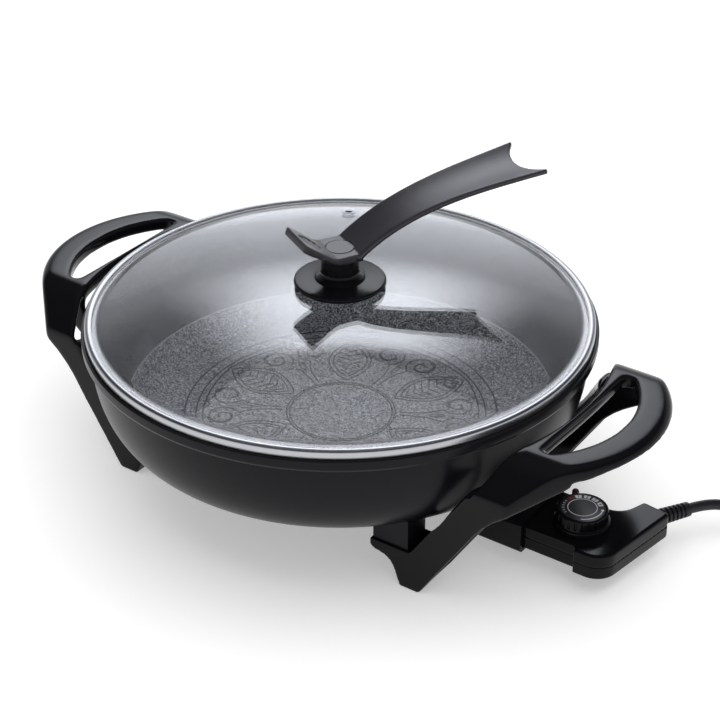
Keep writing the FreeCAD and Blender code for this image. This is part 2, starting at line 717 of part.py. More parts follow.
def make_handle_legs():
    """One hollow moulding per side: the outer form less the room inside it, with a wall round the grip."""
    plan = extrude("LegPlan", plan_outline("0"), "loop_top_z + 10", "XY", "-10")
    form = overlap(
        "LegForm",
        extrude("LegArch", arch_outline("0"), "loop_reach", "YZ", "shelf_x - 10"),
        rounded_prism("LegPlanRounded", plan, size("loop_top_z"), size("loop_edge_round")),
        extrude("LegSide", side_outline(), "2*leg_face_y + 20", "XZ", "-leg_face_y - 10"))
    between = block("BetweenLegs", "shelf_x - 20", "-leg_face_y + leg_depth", "-20",
                    "loop_reach", "2*(leg_face_y - leg_depth)", "loop_top_z - loop_rail_drop + 20")
    near_bowl = bowl_solid("BowlRoom", "bowl_radius + leg_bowl_gap", "bowl_base_z - leg_bowl_gap",
                           "loop_top_z + 10")
    near_rim = rod("RimRoom", "loop_inner", "60", z="strap_crease_z - 3")
    foot_back = block("FootBack", "foot_x - 25", "-leg_face_y + foot_depth", "-1",
                      "60", "2*(leg_face_y - foot_depth)", "foot_back_lift + 1")
    hollow = overlap(
        "LegHollow",
        extrude("HollowArch", arch_outline("moulding_wall"), "loop_reach", "YZ", "shelf_x - 10"),
        extrude("HollowPlan", plan_outline("moulding_wall"), "loop_top_z + 10", "XY", "-10"))
    rail = rod("RailRoom", "loop_inner + moulding_wall", "200", z="-50")
    grip_wall = extrude("GripWall", grip_outline("moulding_wall"), "grip_wall_drop + 1",
                        "XY", "loop_top_z - grip_wall_drop")
    middle = block("LoopRoom", "loop_inner - 40", "-leg_face_y + leg_depth", "-20",
                   "loop_reach", "2*(leg_face_y - leg_depth)", "loop_top_z + 60")
    channel_side = extrude("ChannelSide", [
        ("foot_x + leg_web + 1", "foot_solid_z"),
        ("loop_reach + 20", "foot_solid_z"),
        ("loop_reach + 20", "loop_top_z + 5"),
        ("shin_top_x + leg_web + 3", "loop_top_z + 5"),
        ("shin_top_x + leg_web", "strap_crease_z + 2"),
        ("shin_foot_x + leg_web", "shelf_top_z"),
    ], "leg_depth - 2*moulding_wall", "XZ", "-leg_face_y + moulding_wall")
    loop_room = cut("LoopHollow", overlap("LoopHollowForm", hollow, middle), rail, grip_wall)
    channel = overlap("LegChannel", hollow, channel_side)
    grip = extrude("GripHole", grip_outline("0"), "60", "XY", "loop_top_z - 40")
    shelf_bore = rod("ShelfBore", "leg_screw_radius + screw_gap", "60", "leg_screw_x", "-leg_screw_y", "0")
    counterbore = rod("ShelfCounterbore", "screw_head_radius + screw_gap + 0.2",
                      "shelf_top_z - 3.5 + 20", "leg_screw_x", "-leg_screw_y", "-20")
    outside = cut("MouldingOutside", form, between, near_bowl, near_rim, foot_back)
    shell = cut("MouldingShell", cut("MouldingLoop", outside, loop_room),
                channel, mirrored("LegChannelMirror", channel))
    moulding = cut("Moulding", cut("MouldingGrip", shell, grip),
                   shelf_bore, mirrored("ShelfBoreMirror", shelf_bore),
                   counterbore, mirrored("CounterboreMirror", counterbore))
    name_part(moulding, "right_handle_legs")
    left = group("LeftMoulding", moulding)
    left.Placement = Placement(Vector(), Rotation(ROUND, 180))
    name_part(left, "left_handle_legs")
    leg_screw = screw("LegScrew", "leg_screw_x", "-leg_screw_y", "(shelf_top_z - 3.5)",
                      "leg_screw_length - 5")
    pair = group("LegScrewPair", leg_screw, mirrored("LegScrewMirror", leg_screw))
    far_pair = group("FarLegScrews", pair)
    far_pair.Placement = Placement(Vector(), Rotation(ROUND, 180))
    name_part(group("LegScrews", pair, far_pair), "handle_screws")


# ---- lid ----

def dome_height(radius):
    """Height of the glass's upper face above its rim's upper face, at a distance from the axis."""
    half = size("band_radius") - size("glass_rim_flat")
    rise = size("glass_rise")
    sphere = (half ** 2 + rise ** 2) / (2 * rise)
    return math.sqrt(sphere ** 2 - radius ** 2) - (sphere - rise)


def vent_place():
    """The vent's place on the dome's upper face, square to it."""
    away = size("vent_at")
    half = size("band_radius") - size("glass_rim_flat")
    top = size("band_top_z") - size("band_sheet") + dome_height(away)
    tilt = math.degrees(math.asin(2 * away * size("glass_rise") / (half ** 2 + size("glass_rise") ** 2)))
    around = Rotation(ROUND, size("vent_turn"))
    return Placement(around.multVec(Vector(away, 0, top)), around.multiply(Rotation(Vector(0, 1, 0), tilt)))


def make_glass():
    """A thick spherical dome with a flat rim, a bore for the knob and one for the vent."""
    edge = size("band_radius") - size("band_sheet")
    flat = size("band_radius") - size("glass_rim_flat")
    top = size("band_top_z") - size("band_sheet")
    thick = size("glass_thickness")
    bore = size("glass_bore")
    faces = []
    for low in (0, thick):
        points = [Vector(r, 0, top - low + dome_height(r)) for r in (bore, flat * 0.6, flat)]
        faces.append((Part.Arc(*points), points))
    (upper, above), (lower, below) = faces
    corners = [above[2], Vector(edge, 0, top), Vector(edge, 0, top - thick), below[2]]
    edges = [upper.toShape()] + [Part.makeLine(a, b) for a, b in zip(corners, corners[1:])]
    edges += [lower.toShape(), Part.makeLine(below[0], above[0])]
    dome = shaped("GlassDome", Part.Face(Part.Wire(Part.sortEdges(edges)[0])).revolve(Vector(), ROUND, 360))
    vent = group("VentHole", rod("VentBore", "vent_bore + vent_sheet + vent_gap",
                                 "3*glass_thickness", z="-2*glass_thickness"))
    vent.Placement = vent_place()
    return name_part(cut("Glass", dome, vent), "lid_glass")


def make_band():
    """Folded steel channel round the glass."""
    band = revolve("Band", [
        ("band_radius - band_lip", "band_top_z - band_sheet"),
        ("band_radius - band_sheet", "band_top_z - band_sheet"),
        ("band_radius - band_sheet", "band_top_z - band_sheet - glass_thickness"),
        ("band_radius - band_lip", "band_top_z - band_sheet - glass_thickness"),
        ("band_radius - band_lip", "band_top_z - 2*band_sheet - glass_thickness"),
        ("band_radius - band_lip/2", "band_bottom_z", "0.8"),
        ("band_radius", "band_bottom_z", "1"),
        ("band_radius", "band_top_z", "1.6"),
        ("band_radius - band_lip", "band_top_z"),
    ])
    return name_part(band, "lid_band")


def make_vent():
    """A steel eyelet through the glass, rolled over on both faces."""
    eyelet = revolve("Eyelet", [
        ("vent_bore", "-glass_thickness - vent_sheet"),
        ("vent_flange", "-glass_thickness - vent_sheet"),
        ("vent_flange", "-glass_thickness - 0.15"),
        ("vent_bore + vent_sheet", "-glass_thickness - 0.15"),
        ("vent_bore + vent_sheet", "0.15"),
        ("vent_flange", "0.15"),
        ("vent_flange", "vent_sheet + 0.15"),
        ("vent_bore", "vent_sheet + 0.15"),
    ])
    spot = group("VentEyelet", eyelet)
    spot.Placement = vent_place()
    return name_part(spot, "vent_eyelet")


def make_knob_base():
    """Disc and stem under the handle, with its gasket, washer and screw."""
    crown = "band_top_z - band_sheet + glass_rise"
    seat = f"({crown} + gasket_thickness)"
    base = revolve("KnobBase", [
        ("0", seat),
        ("base_radius - 1", seat),
        ("base_radius", f"{seat} + 0.8", "0.5"),
        ("base_radius", f"{seat} + base_edge", "base_round"),
        ("stem_flare", f"{seat} + base_edge + 1", "3"),
        ("stem_radius", f"{seat} + base_edge + 5", "4"),
        ("stem_radius", "hub_underside_z"),
        ("0", "hub_underside_z"),
    ])
    bore = rod("StemBore", "lid_screw_radius + screw_gap", "lid_screw_up", z=f"{crown} - 1")
    name_part(cut("KnobBaseBored", base, bore), "knob_base")
    drop = f"(gasket_radius*gasket_radius*glass_rise/(band_radius - glass_rim_flat)/(band_radius - glass_rim_flat))"
    gasket = revolve("Gasket", [
        ("glass_bore", f"{crown} + gasket_ease"), ("gasket_radius", f"{crown} - {drop} + gasket_ease"),
        ("gasket_radius", seat), ("glass_bore", seat)])
    name_part(gasket, "lid_gasket")
    under = f"({crown} - glass_thickness)"
    washer_drop = drop.replace("gasket_radius", "washer_radius")
    washer = revolve("Washer", [
        ("lid_screw_radius + screw_gap", f"{under} - {washer_drop} - washer_thickness"),
        ("washer_radius", f"{under} - {washer_drop} - washer_thickness"),
        ("washer_radius", f"{under} - {washer_drop}"),
        ("lid_screw_radius + screw_gap", f"{under} - {washer_drop}")])
    name_part(washer, "lid_washer")
    head_top = f"({under} - {washer_drop} - washer_thickness)"
    shank = rod("LidScrewShank", "lid_screw_radius", f"{crown} - 2 + lid_screw_up - {head_top}", z=head_top)
    head = rod("LidScrewHead", "2*lid_screw_radius", "lid_screw_head", z=f"{head_top} - lid_screw_head")
    slot = block("LidScrewSlot", "-3*lid_screw_radius", "-0.7", f"{head_top} - lid_screw_head - 1",
                 "6*lid_screw_radius", "1.4", "2.2")
    name_part(cut("LidScrew", join("LidScrewBody", shank, head), slot), "lid_screw")


def crescent(at, across, up, half, thick, dish):
    """A dished section with round edges, as a closed wire."""
    top = [at + across * half, at - up * dish, at - across * half]
    low = [p - up * thick for p in (at - across * (half - 1), at - up * dish, at + across * (half - 1))]
    low[1] = at - up * (dish + thick)
    bulge = up * (thick / 2)
    left = Part.Arc(top[2], top[2] - across * 1.2 - bulge, low[0])
    right = Part.Arc(low[2], top[0] + across * 1.2 - bulge, top[0])
    return Part.Wire([Part.Arc(*top).toShape(), left.toShape(), Part.Arc(*low).toShape(), right.toShape()])


def hub_side():
    """The hub plate and the thumb wing seen from the side."""
    return [
        ("-wing_reach", "wing_tip_z", "1.2"),
        ("-wing_reach - 0.6*wing_thickness", "wing_tip_z - 0.8*wing_thickness", "2"),
        ("-cap_radius + 1", "hub_top_z - hub_plate", "18"),
        ("arm_fold + 2", "hub_top_z - hub_plate"),
        ("arm_fold + 2", "hub_top_z"),
        ("-cap_radius - 1.5", "hub_top_z", "12"),
    ]


def hub_plan():
    """The hub plate and the thumb wing seen from above."""
    return [
        ("-wing_reach - wing_thickness", "-wing_half", "wing_corner"),
        ("arm_fold + 2", "-arm_half"),
        ("arm_fold + 2", "arm_half"),
        ("-wing_reach - wing_thickness", "wing_half", "wing_corner"),
    ]


def make_arm():
    """The dished arm, lofted along a rising curve from the fold at the hub, with a swallow tail."""
    fold, reach = size("arm_fold"), size("arm_reach")
    path = Part.BSplineCurve()
    path.interpolate([
        Vector(fold - 3, 0, size("hub_top_z - 1.6")),
        Vector(size("arm_shoulder"), 0, size("arm_shoulder_z")),
        Vector(size("arm_middle"), 0, size("arm_middle_z")),
        Vector(reach, 0, size("arm_tail_z"))])
    across = Vector(0, 1, 0)
    sections = []
    for at in path.toShape().discretize(Number=int(size("arm_sections"))):
        along = Vector(*path.tangent(path.parameter(at))[0])
        up = along.cross(across)
        share = max(at.x - fold, 0) / (reach - fold)
        half = size("arm_half") + (size("arm_tail_half") - size("arm_half")) * share ** 1.7
        thick = size("arm_thickness") * (1 - 0.2 * share)
        dish = 0.2 + size("arm_dish") * share
        sections.append(crescent(at, across, up if up.z > 0 else up * -1, half, thick, dish))
    blade = shaped("ArmBlade", Part.makeLoft(sections, True, False))
    bow = "((arm_tail_half - 1.5)*(arm_tail_half - 1.5)/tail_notch + tail_notch)/2"
    notch = rod("TailNotch", bow, "100", f"arm_reach - tail_notch + {bow}", "0", "arm_tail_z - 60")
    return cut("Arm", blade, notch)


def make_grip_recess():
    """A round recess in the wing with ridges across it, square to the wing's face."""
    run = size("wing_reach - cap_radius - 1.5")
    rise = size("wing_tip_z - hub_top_z")
    tilt = math.degrees(math.atan2(rise, run))
    middle = Vector(-size("wing_reach") + 0.47 * run, 0, size("wing_tip_z") - 0.47 * rise)
    well = rod("GripWell", "grip_well_radius", "grip_well_depth + 6", z="-grip_well_depth")
    ridges = []
    count = int(size("grip_ridges"))
    for n in range(count):
        x = f"grip_well_radius*(2*{n} + 1 - grip_ridges)/grip_ridges"
        chord = f"sqrt(grip_well_radius*grip_well_radius - ({x})*({x}))"
        ridges.append(block(f"GripRidge{n}", f"{x} - 0.45", f"-{chord} - 0.5", "-grip_well_depth - 1",
                            "0.9", f"2*{chord} + 1", "grip_well_depth + 0.7"))
    recess = group("GripRecess", cut("GripRecessForm", well, *ridges))
    recess.Placement = Placement(middle, Rotation(Vector(0, 1, 0), tilt))
    return recess


def make_lid_handle():
    """Hub plate, thumb wing with its ridged recess, and the long arm that holds the lid up."""
    plate = overlap(
        "HubPlate",
        extrude("HubSide", hub_side(), "2*wing_half + 10", "XZ", "-wing_half - 5"),
        extrude("HubPlan", hub_plan(), "arm_tail_z", "XY", "0"))
    collar = rod("HubCollar", "hub_radius", "hub_top_z - hub_plate - hub_underside_z + 1",
                 z="hub_underside_z")
    recess = rod("CapRecess", "cap_radius + 0.1", "30", z="hub_top_z + 0.1 - cap_height")
    bore = rod("HubBore", "lid_screw_radius + screw_gap", "3", z="hub_underside_z - 1")
    handle = cut("HandleShape", join("HandleForm", plate, make_arm(), collar),
                 recess, bore, make_grip_recess())
    turned = group("LidHandle", handle)
    turned.Placement = Placement(Vector(), Rotation(ROUND, size("arm_turn")))
    name_part(turned, "lid_handle")
    cap = rod("HandleCap", "cap_radius", "cap_height", z="hub_top_z + 0.1 - cap_height")
    name_part(cap, "handle_cap")


# ---- control ----

def box_outline(inset):
    """The control seen from above: nose, step, round front corner and the arm to the cord."""
    return [
        (f"nose_x + {inset}", f"-nose_half + {inset}"),
        (f"box_step_x + {inset}", f"-nose_half + {inset}"),
        (f"box_step_x + 1.5 + {inset}", f"-box_front_y + {inset}"),
        (f"box_front_x - {inset}", f"-box_front_y + {inset}", f"box_front_round - {inset}"),
        (f"box_end_x - {inset}", f"box_end_y - {inset}", "3"),
        (f"box_end_x - box_end_width + {inset}", f"box_end_y + box_end_slope - {inset}", "2"),
        (f"box_throat_x + {inset}", f"nose_half - {inset}", f"box_throat_round + {inset}"),
        (f"nose_x + {inset}", f"nose_half - {inset}"),
    ]


SCREW_SPOTS = [(f"box_screw_{letter}_x", f"box_screw_{letter}_y") for letter in "abc"]


def make_control():
    """Two half shells parted at the plug's axis, with everything that the control holds."""
    lower = extrude("LowerOuter", box_outline("0"), "plug_axis_z - box_bottom_z", at="box_bottom_z")
    upper = extrude("UpperOuter", box_outline("0"), "box_top_z - plug_axis_z", at="plug_axis_z")
    lower_round = rounded_prism("LowerRounded", lower, size("box_bottom_z"), size("box_edge_round") * 0.6)
    upper_round = rounded_prism("UpperRounded", upper, size("box_top_z"), size("box_edge_round"))
    room = extrude("BoxRoom", box_outline("box_wall"), "box_top_z - box_bottom_z - 2*box_wall",
                   at="box_bottom_z + box_wall")
    posts, drills, screws = [], [], []
    for n, (x, y) in enumerate(SCREW_SPOTS):
        posts.append(rod(f"Post{n}", "box_post_radius", "box_top_z - box_bottom_z - 2*box_wall", x, y,
                         "box_bottom_z + box_wall"))
        drills.append(rod(f"Drill{n}", "box_screw_radius + 0.05", "box_top_z - box_bottom_z - box_wall - 1",
                          x, y, "box_bottom_z"))
        drills.append(rod(f"Sink{n}", "box_screw_head_radius + 0.1", "box_screw_head + 0.1", x, y,
                          "box_bottom_z - 0.1"))
        shank = rod(f"BoxShank{n}", "box_screw_radius", "box_top_z - box_bottom_z - box_wall - 1.4", x, y,
                    "box_bottom_z + 0.3")
        head = rod(f"BoxHead{n}", "box_screw_head_radius", "box_screw_head - 0.3", x, y, "box_bottom_z + 0.3")
        screws.append(join(f"BoxScrew{n}", shank, head))
    hollow = cut("BoxHollow", room, *posts)
    rod_hole = rod_along_x("NoseRodHole", "rod_radius", "30", "nose_x - 10", "0", "plug_axis_z")
    sleeve_hole = rod_along_x("SleeveHole", "pin_radius + sleeve_gap + sleeve_wall", "20", "nose_x - 10",
                              "pin_spread", "plug_axis_z")
    shaft_hole = rod("ShaftHole", "bush_radius", "30", "dial_x", "0", "plug_axis_z")
    lens_hole = rod("LensHole", "lens_radius", "30", "lens_x", "lens_y", "plug_axis_z + 1")
    relief_hole = shaped("ReliefHole", relief_axis_solid(size("relief_root"), 14, -8))
    tools = [hollow, rod_hole, sleeve_hole, mirrored("SleeveHoleMirror", sleeve_hole), relief_hole]
    name_part(cut("LowerHousing", lower_round, *tools, *drills), "control_lower_housing")
    name_part(cut("UpperHousing", upper_round, *tools, *drills, shaft_hole, lens_hole),
              "control_upper_housing")
    name_part(group("HousingScrews", *screws), "housing_screws")
    make_inside()
    make_dial()


def make_inside():
    """Thermostat with its bush, sensing rod, contact sleeves and pilot lens."""
    floor = "(box_bottom_z + box_wall)"
    body = block("ThermostatBody", "dial_x - thermostat_length/2", "-thermostat_width/2", floor,
                 "thermostat_length", "thermostat_width", "thermostat_height")
    bush = rod("ThermostatBush", "bush_radius", f"box_top_z - {floor}", "dial_x", "0", floor)
    bore = rod("BushBore", "shaft_radius + shaft_gap", "60", "dial_x", "0",
               f"{floor} + thermostat_height - 1")
    name_part(cut("Thermostat", join("ThermostatForm", body, bush), bore), "thermostat")
    tip = doc.addObject("Part::Fillet", "RodRounded")
    tip.Base = rod_along_x("RodBar", "rod_radius", "rod_end_x - rod_tip_x", "rod_tip_x", "0", "plug_axis_z")
    doc.recompute()
    bar = tip.Base.Shape
    end = min(range(len(bar.Edges)), key=lambda e: bar.Edges[e].CenterOfMass.x)
    tip.Edges = [(end + 1, size("rod_radius") * 0.8, size("rod_radius") * 0.8)]
    name_part(tip, "sensor_rod")
    sleeve = cut(
        "Sleeve",
        rod_along_x("SleeveOuter", "pin_radius + sleeve_gap + sleeve_wall", "sleeve_length", "nose_x + 0.5",
                    "pin_spread", "plug_axis_z"),
        rod_along_x("SleeveBore", "pin_radius + sleeve_gap", "40", "nose_x - 10", "pin_spread",
                    "plug_axis_z"))
    name_part(group("ContactSleeves", sleeve, mirrored("SleeveMirror", sleeve)), "contact_sleeves")
    lens = rod("LensPost", "lens_radius", "lens_top_z - plug_axis_z - 1", "lens_x", "lens_y",
               "plug_axis_z + 1")
    rounded = rounded_prism("PilotLens", lens, size("lens_top_z"), size("lens_radius") * 0.8)
    name_part(rounded, "pilot_lens")


def make_dial():
    """The fluted dial, its printed disc and its shaft."""
    low = "(box_top_z + dial_gap)"
    form = revolve("DialForm", [
        ("0", low), ("dial_radius", low), ("dial_radius", f"{low} + 2.6", "0.8"),
        ("dial_top_radius + 0.5", f"{low} + 3.4", "0.5"),
        ("dial_top_radius", f"{low} + dial_height", "1.2"), ("0", f"{low} + dial_height")])
    recess = rod("DialRecess", "scale_radius + 0.1", "scale_depth + 1", z=f"{low} + dial_height - scale_depth")
    bore = rod("DialBore", "shaft_radius", "dial_height - 3", z=low)
    flute = rod("Flute", "flute_radius", "dial_height - 5.4", "dial_top_radius + flute_radius*0.75",
                "0", f"{low} + 4.4")
    flutes = doc.addObject("Part::Compound", "Flutes")
    copies = []
    count = int(size("dial_flutes"))
    for n in range(count):
        copy = doc.addObject("App::Link", f"Flute{n}")
        copy.LinkedObject = flute
        copy.LinkTransform = True
        copy.Placement = Placement(Vector(), Rotation(ROUND, 360 * n / count))
        copies.append(copy)
    flutes.Links = copies
    dial = group("Dial", cut("DialCut", form, recess, bore, flutes))
    name_part(move(dial, "dial_x"), "temperature_dial")
    scale = rod("DialScale", "scale_radius", "scale_depth", "dial_x", "0",
                f"{low} + dial_height - scale_depth")
    name_part(scale, "dial_scale")
    floor = "(box_bottom_z + box_wall + thermostat_height)"
    shaft = rod("DialShaft", "shaft_radius", f"{low} + dial_height - 3 - {floor} + 0.7", "dial_x", "0",
                f"{floor} - 0.7")
    name_part(shaft, "dial_shaft")


# ---- strain relief, cord and plug ----

def relief_axis_solid(radius, length, start):
    """A cylinder on the strain relief's axis, from start along it."""
    turn = math.radians(size("relief_turn"))
    along = Vector(math.cos(turn), math.sin(turn), 0)
    foot = Vector(size("relief_x"), size("relief_y"), size("plug_axis_z"))
    return Part.makeCylinder(radius, length, foot + along * start, along)


def make_relief():
    """A tapered, ribbed sleeve held in the end of the control."""
    inside, length = "relief_inside", "relief_length"
    sleeve = revolve("ReliefForm", [
        ("0", f"-{inside}"), ("relief_root", f"-{inside}"), ("relief_root", "2"),
        ("relief_end", length, "0.8"), ("0", length)])
    rings = []
    count = int(size("relief_ribs"))
    for n in range(count):
        low = f"6 + {n}*(relief_length - 9)/relief_ribs"
        rings.append(revolve(f"Groove{n}", [
            ("relief_end - relief_groove + 0.3", low), ("relief_root + 2", low),
            ("relief_root + 2", f"{low} + relief_groove_width"),
            ("relief_end - relief_groove + 0.3", f"{low} + relief_groove_width")]))
    sleeve = group("StrainRelief", cut("ReliefCut", sleeve, *rings))
    lay = Rotation(ROUND, size("relief_turn")).multiply(Rotation(Vector(0, 1, 0), 90))
    sleeve.Placement = Placement(Vector(size("relief_x"), size("relief_y"), size("plug_axis_z")), lay)
    name_part(sleeve, "strain_relief")


def route_tube(name, points):
    """A tube along straight runs joined by tangent arcs, each as large as its runs allow."""
    radius = size("cord_radius")
    edges, start, radii = [], points[0], []
    for before, corner, after in zip(points, points[1:], points[2:]):
        back, ahead = (before - corner), (after - corner)
        shorter = min(back.Length, ahead.Length)
        back.normalize()
        ahead.normalize()
        turn = math.pi - back.getAngle(ahead)
        reach = 0.45 * shorter
        bend = reach / math.tan(turn / 2)
        radii.append(bend)
        first, last = corner + back * reach, corner + ahead * reach
        middle = corner + (back + ahead).normalize() * (bend / math.cos(turn / 2) - bend)
        edges.append(Part.LineSegment(start, first).toShape())
        edges.append(Part.Arc(first, middle, last).toShape())
        start = last
    edges.append(Part.LineSegment(start, points[-1]).toShape())
    path = Part.Wire(edges)
    section = Part.Wire([Part.makeCircle(radius, points[0], points[1] - points[0])])
    tube = path.makePipeShell([section], True, True)
    print(name, "bend radii", [round(r) for r in radii], "length", round(path.Length, 1),
          "volume share", round(tube.Volume / (math.pi * radius ** 2 * path.Length), 4))
    return name_part(shaped(name, tube), name)


def corners(route):
    """The corners of a route of the lead, measured outward from the bowl's wall."""
    wall = size("bowl_radius")
    return [Vector(wall + x, y, z) for x, y, z in ROUTES[route]]


def make_cord():
    """The lead leaves the relief, comes down to the table and is wound into a coil beside it."""
    turn = math.radians(size("relief_turn"))
    length = size("relief_length")
    along = Vector(math.cos(turn), math.sin(turn), 0)
    foot = Vector(size("relief_x"), size("relief_y"), size("plug_axis_z"))
    start = foot + along * length
    route_tube("power_cord", [start, start + along * size("lead_straight")] + corners("lead"))
    coil = revolve("CoilForm", [
        ("coil_inner", "0.05", "4"), ("coil_outer", "0.05", "4"),
        ("coil_outer", "coil_height", "4"), ("coil_inner", "coil_height", "4")])
    name_part(move(group("Coil", coil), "coil_x", "coil_y"), "cord_coil")
    make_plug()


def make_plug():
    """A round moulded earthed plug lying on its side, its cord leaving the coil."""
    turn = size("plug_turn")
    face = revolve("PlugForm", [
        ("0", "0"), ("plug_radius", "0", "1.5"), ("plug_radius", "plug_face", "3"),
        ("plug_neck + 6", "plug_face + plug_back", "6"),
        ("plug_neck + 0.6", "plug_face + plug_back + 4", "3"),
        ("plug_neck - 1.2", "plug_face + plug_back + plug_neck_length", "0.8"),
        ("0", "plug_face + plug_back + plug_neck_length")])
    bore = rod("EarthBore", "earth_bore", "earth_bore_depth", "earth_bore_drop", "0", "0")
    pin_bores = [rod(f"MainsBore{n}", "mains_root_radius", "mains_root", "0", f"{side}*mains_pin_spread", "0")
                 for n, side in enumerate((1, -1))]
    slots = []
    for n, side in enumerate((1, -1)):
        middle = f"{side}*(plug_radius - earth_clip/2)"
        slots.append(block(f"ClipSlot{n}", f"{middle} - earth_clip/2 - clip_gap",
                           "-earth_clip_width/2 - clip_gap/10", "-1",
                           "earth_clip + 2*clip_gap", "earth_clip_width + clip_gap/5", "plug_face - 3"))
    body = cut("PlugBodyCut", face, bore, *pin_bores, *slots)
    pins = []
    for n, side in enumerate((1, -1)):
        pin = rod(f"MainsPin{n}", "mains_pin_radius", "mains_pin_length - mains_neck", "0",
                  f"{side}*mains_pin_spread", "-mains_pin_length")
        rounded = rounded_prism(f"MainsPinRounded{n}", pin, -size("mains_pin_length"), size("mains_pin_tip"))
        root = rod(f"MainsRoot{n}", "mains_root_radius", "mains_root + mains_neck", "0",
                   f"{side}*mains_pin_spread", "-mains_neck")
        pins.append(join(f"MainsPinWhole{n}", rounded, root))
    clips = []
    for n, side in enumerate((1, -1)):
        clips.append(block(f"EarthClip{n}", f"{side}*(plug_radius - earth_clip/2 - 0.4) - earth_clip/2",
                           "-earth_clip_width/2", "0.4", "earth_clip", "earth_clip_width",
                           "plug_face - 5"))
    # the plug's own +Z is its cord side; it lies along the turn, pins away from the coil
    lay = Placement(Vector(size("plug_x"), size("plug_y"), size("plug_radius") + 0.05),
                    Rotation(ROUND, turn + 180).multiply(Rotation(Vector(0, 1, 0), 90)))
    for label, parts in (("plug_body", [body]), ("plug_pins", pins), ("plug_earth_clips", clips)):
        laid = group(label.title().replace("_", ""), *parts)
        laid.Placement = lay
        name_part(laid, label)
    back = size("plug_face + plug_back + plug_neck_length")
    start = lay.multVec(Vector(0, 0, back))
    bend = lay.multVec(Vector(0, 0, back + size("tail_straight")))
    route_tube("cord_tail", [start, bend] + corners("tail"))


def check_all():
    """Stop if any object of the document failed."""
    failed = [o.Name for o in doc.Objects if "Invalid" in o.State or "Error" in o.State]
    if failed:
        raise RuntimeError(f"failed objects: {failed}")
    for part in SUB_PARTS:
        if part.Shape.isNull() or not part.Shape.isValid() or not part.Shape.Solids:
            raise RuntimeError(f"bad shape: {part.Label}")


def main():
    make_pan()
    make_element()
    make_socket()
    make_handle_legs()
    make_glass()
    make_band()
    make_vent()
    make_knob_base()
    make_lid_handle()
    make_control()
    make_relief()
    make_cord()
    doc.recompute()
    check_all()
    os.makedirs("parts", exist_ok=True)
    for part in SUB_PARTS:
        part.Shape.exportStep(f"parts/{part.Label}.step")
        box = part.Shape.BoundBox
        print(part.Label, len(part.Shape.Solids), "solids", round(part.Shape.Volume / 1000, 1), "cm3",
              [round(v, 1) for v in (box.XMin, box.YMin, box.ZMin, box.XMax, box.YMax, box.ZMax)])


main()
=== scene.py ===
import math
import json
import bpy
import bmesh
from mathutils import Vector, Matrix

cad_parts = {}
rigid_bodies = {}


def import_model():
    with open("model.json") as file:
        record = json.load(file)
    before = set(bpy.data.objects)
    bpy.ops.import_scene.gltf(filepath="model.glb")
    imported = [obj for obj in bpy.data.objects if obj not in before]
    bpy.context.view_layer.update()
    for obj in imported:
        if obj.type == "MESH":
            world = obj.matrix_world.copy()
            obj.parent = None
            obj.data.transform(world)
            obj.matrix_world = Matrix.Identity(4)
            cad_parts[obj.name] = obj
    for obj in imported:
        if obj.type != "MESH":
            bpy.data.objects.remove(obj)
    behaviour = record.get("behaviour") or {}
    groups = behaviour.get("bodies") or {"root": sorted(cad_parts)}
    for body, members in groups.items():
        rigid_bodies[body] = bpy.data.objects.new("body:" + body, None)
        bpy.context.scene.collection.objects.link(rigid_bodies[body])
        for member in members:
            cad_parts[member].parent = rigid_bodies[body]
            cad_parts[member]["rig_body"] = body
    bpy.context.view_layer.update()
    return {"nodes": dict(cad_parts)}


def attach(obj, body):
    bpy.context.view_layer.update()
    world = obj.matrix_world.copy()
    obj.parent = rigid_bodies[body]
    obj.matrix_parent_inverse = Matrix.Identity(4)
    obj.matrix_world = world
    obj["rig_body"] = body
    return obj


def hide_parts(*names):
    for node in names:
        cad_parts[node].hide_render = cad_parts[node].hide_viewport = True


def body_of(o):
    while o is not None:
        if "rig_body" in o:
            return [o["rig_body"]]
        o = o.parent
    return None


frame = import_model()
wokParts = frame["nodes"]
print("model loaded,", len(wokParts), "parts")


# camera

studioCamera = {
    "place": (0.6706, -0.9277, 0.7762),
    "lookAt": (0.0042, 0.0169, 0.0788),
    "lens": 98.7,
    "sensor": 36.0,
    "near": 0.05,
    "far": 40.0,
}


def addObject(name, data):
    made = bpy.data.objects.new(name, data)
    bpy.context.scene.collection.objects.link(made)
    return made


def aimed(place, target):
    # turn that points an object's -Z at the target with +Y up
    return (Vector(target) - Vector(place)).to_track_quat("-Z", "Y")


def setCamera(settings):
    lens = bpy.data.cameras.new("studioCamera")
    lens.lens = settings["lens"]
    lens.sensor_width = settings["sensor"]
    lens.clip_start = settings["near"]
    lens.clip_end = settings["far"]
    camera = addObject("studioCamera", lens)
    camera.location = settings["place"]
    camera.rotation_mode = "QUATERNION"
    camera.rotation_quaternion = aimed(settings["place"], settings["lookAt"])
    bpy.context.scene.camera = camera


setCamera(studioCamera)
bpy.context.scene.view_settings.view_transform = "Standard"
print("camera set")


# node tree helpers

nodeLayout = {
    "perRow": 8,
    "across": 220,
    "down": 320,
}


def addNode(tree, kind, **settings):
    # nodes stand in rows, in the order in which they are made
    row, column = divmod(len(tree.nodes), nodeLayout["perRow"])
    made = tree.nodes.new(kind)
    made.location = (column * nodeLayout["across"], -row * nodeLayout["down"])
    for key, value in settings.items():
        setattr(made, key, value)
    return made


def feed(node, values):
    # each value is either set on its socket or, when it is another node's output, linked to it
    for key, value in values.items():
        if isinstance(value, (int, float, tuple)):
            node.inputs[key].default_value = value
        else:
            node.id_data.links.new(value, node.inputs[key])


def mathStep(tree, operation, first, second=None, clamp=False):
    step = addNode(tree, "ShaderNodeMath", operation=operation, use_clamp=clamp)
    feed(step, {0: first} if second is None else {0: first, 1: second})
    return step.outputs[0]


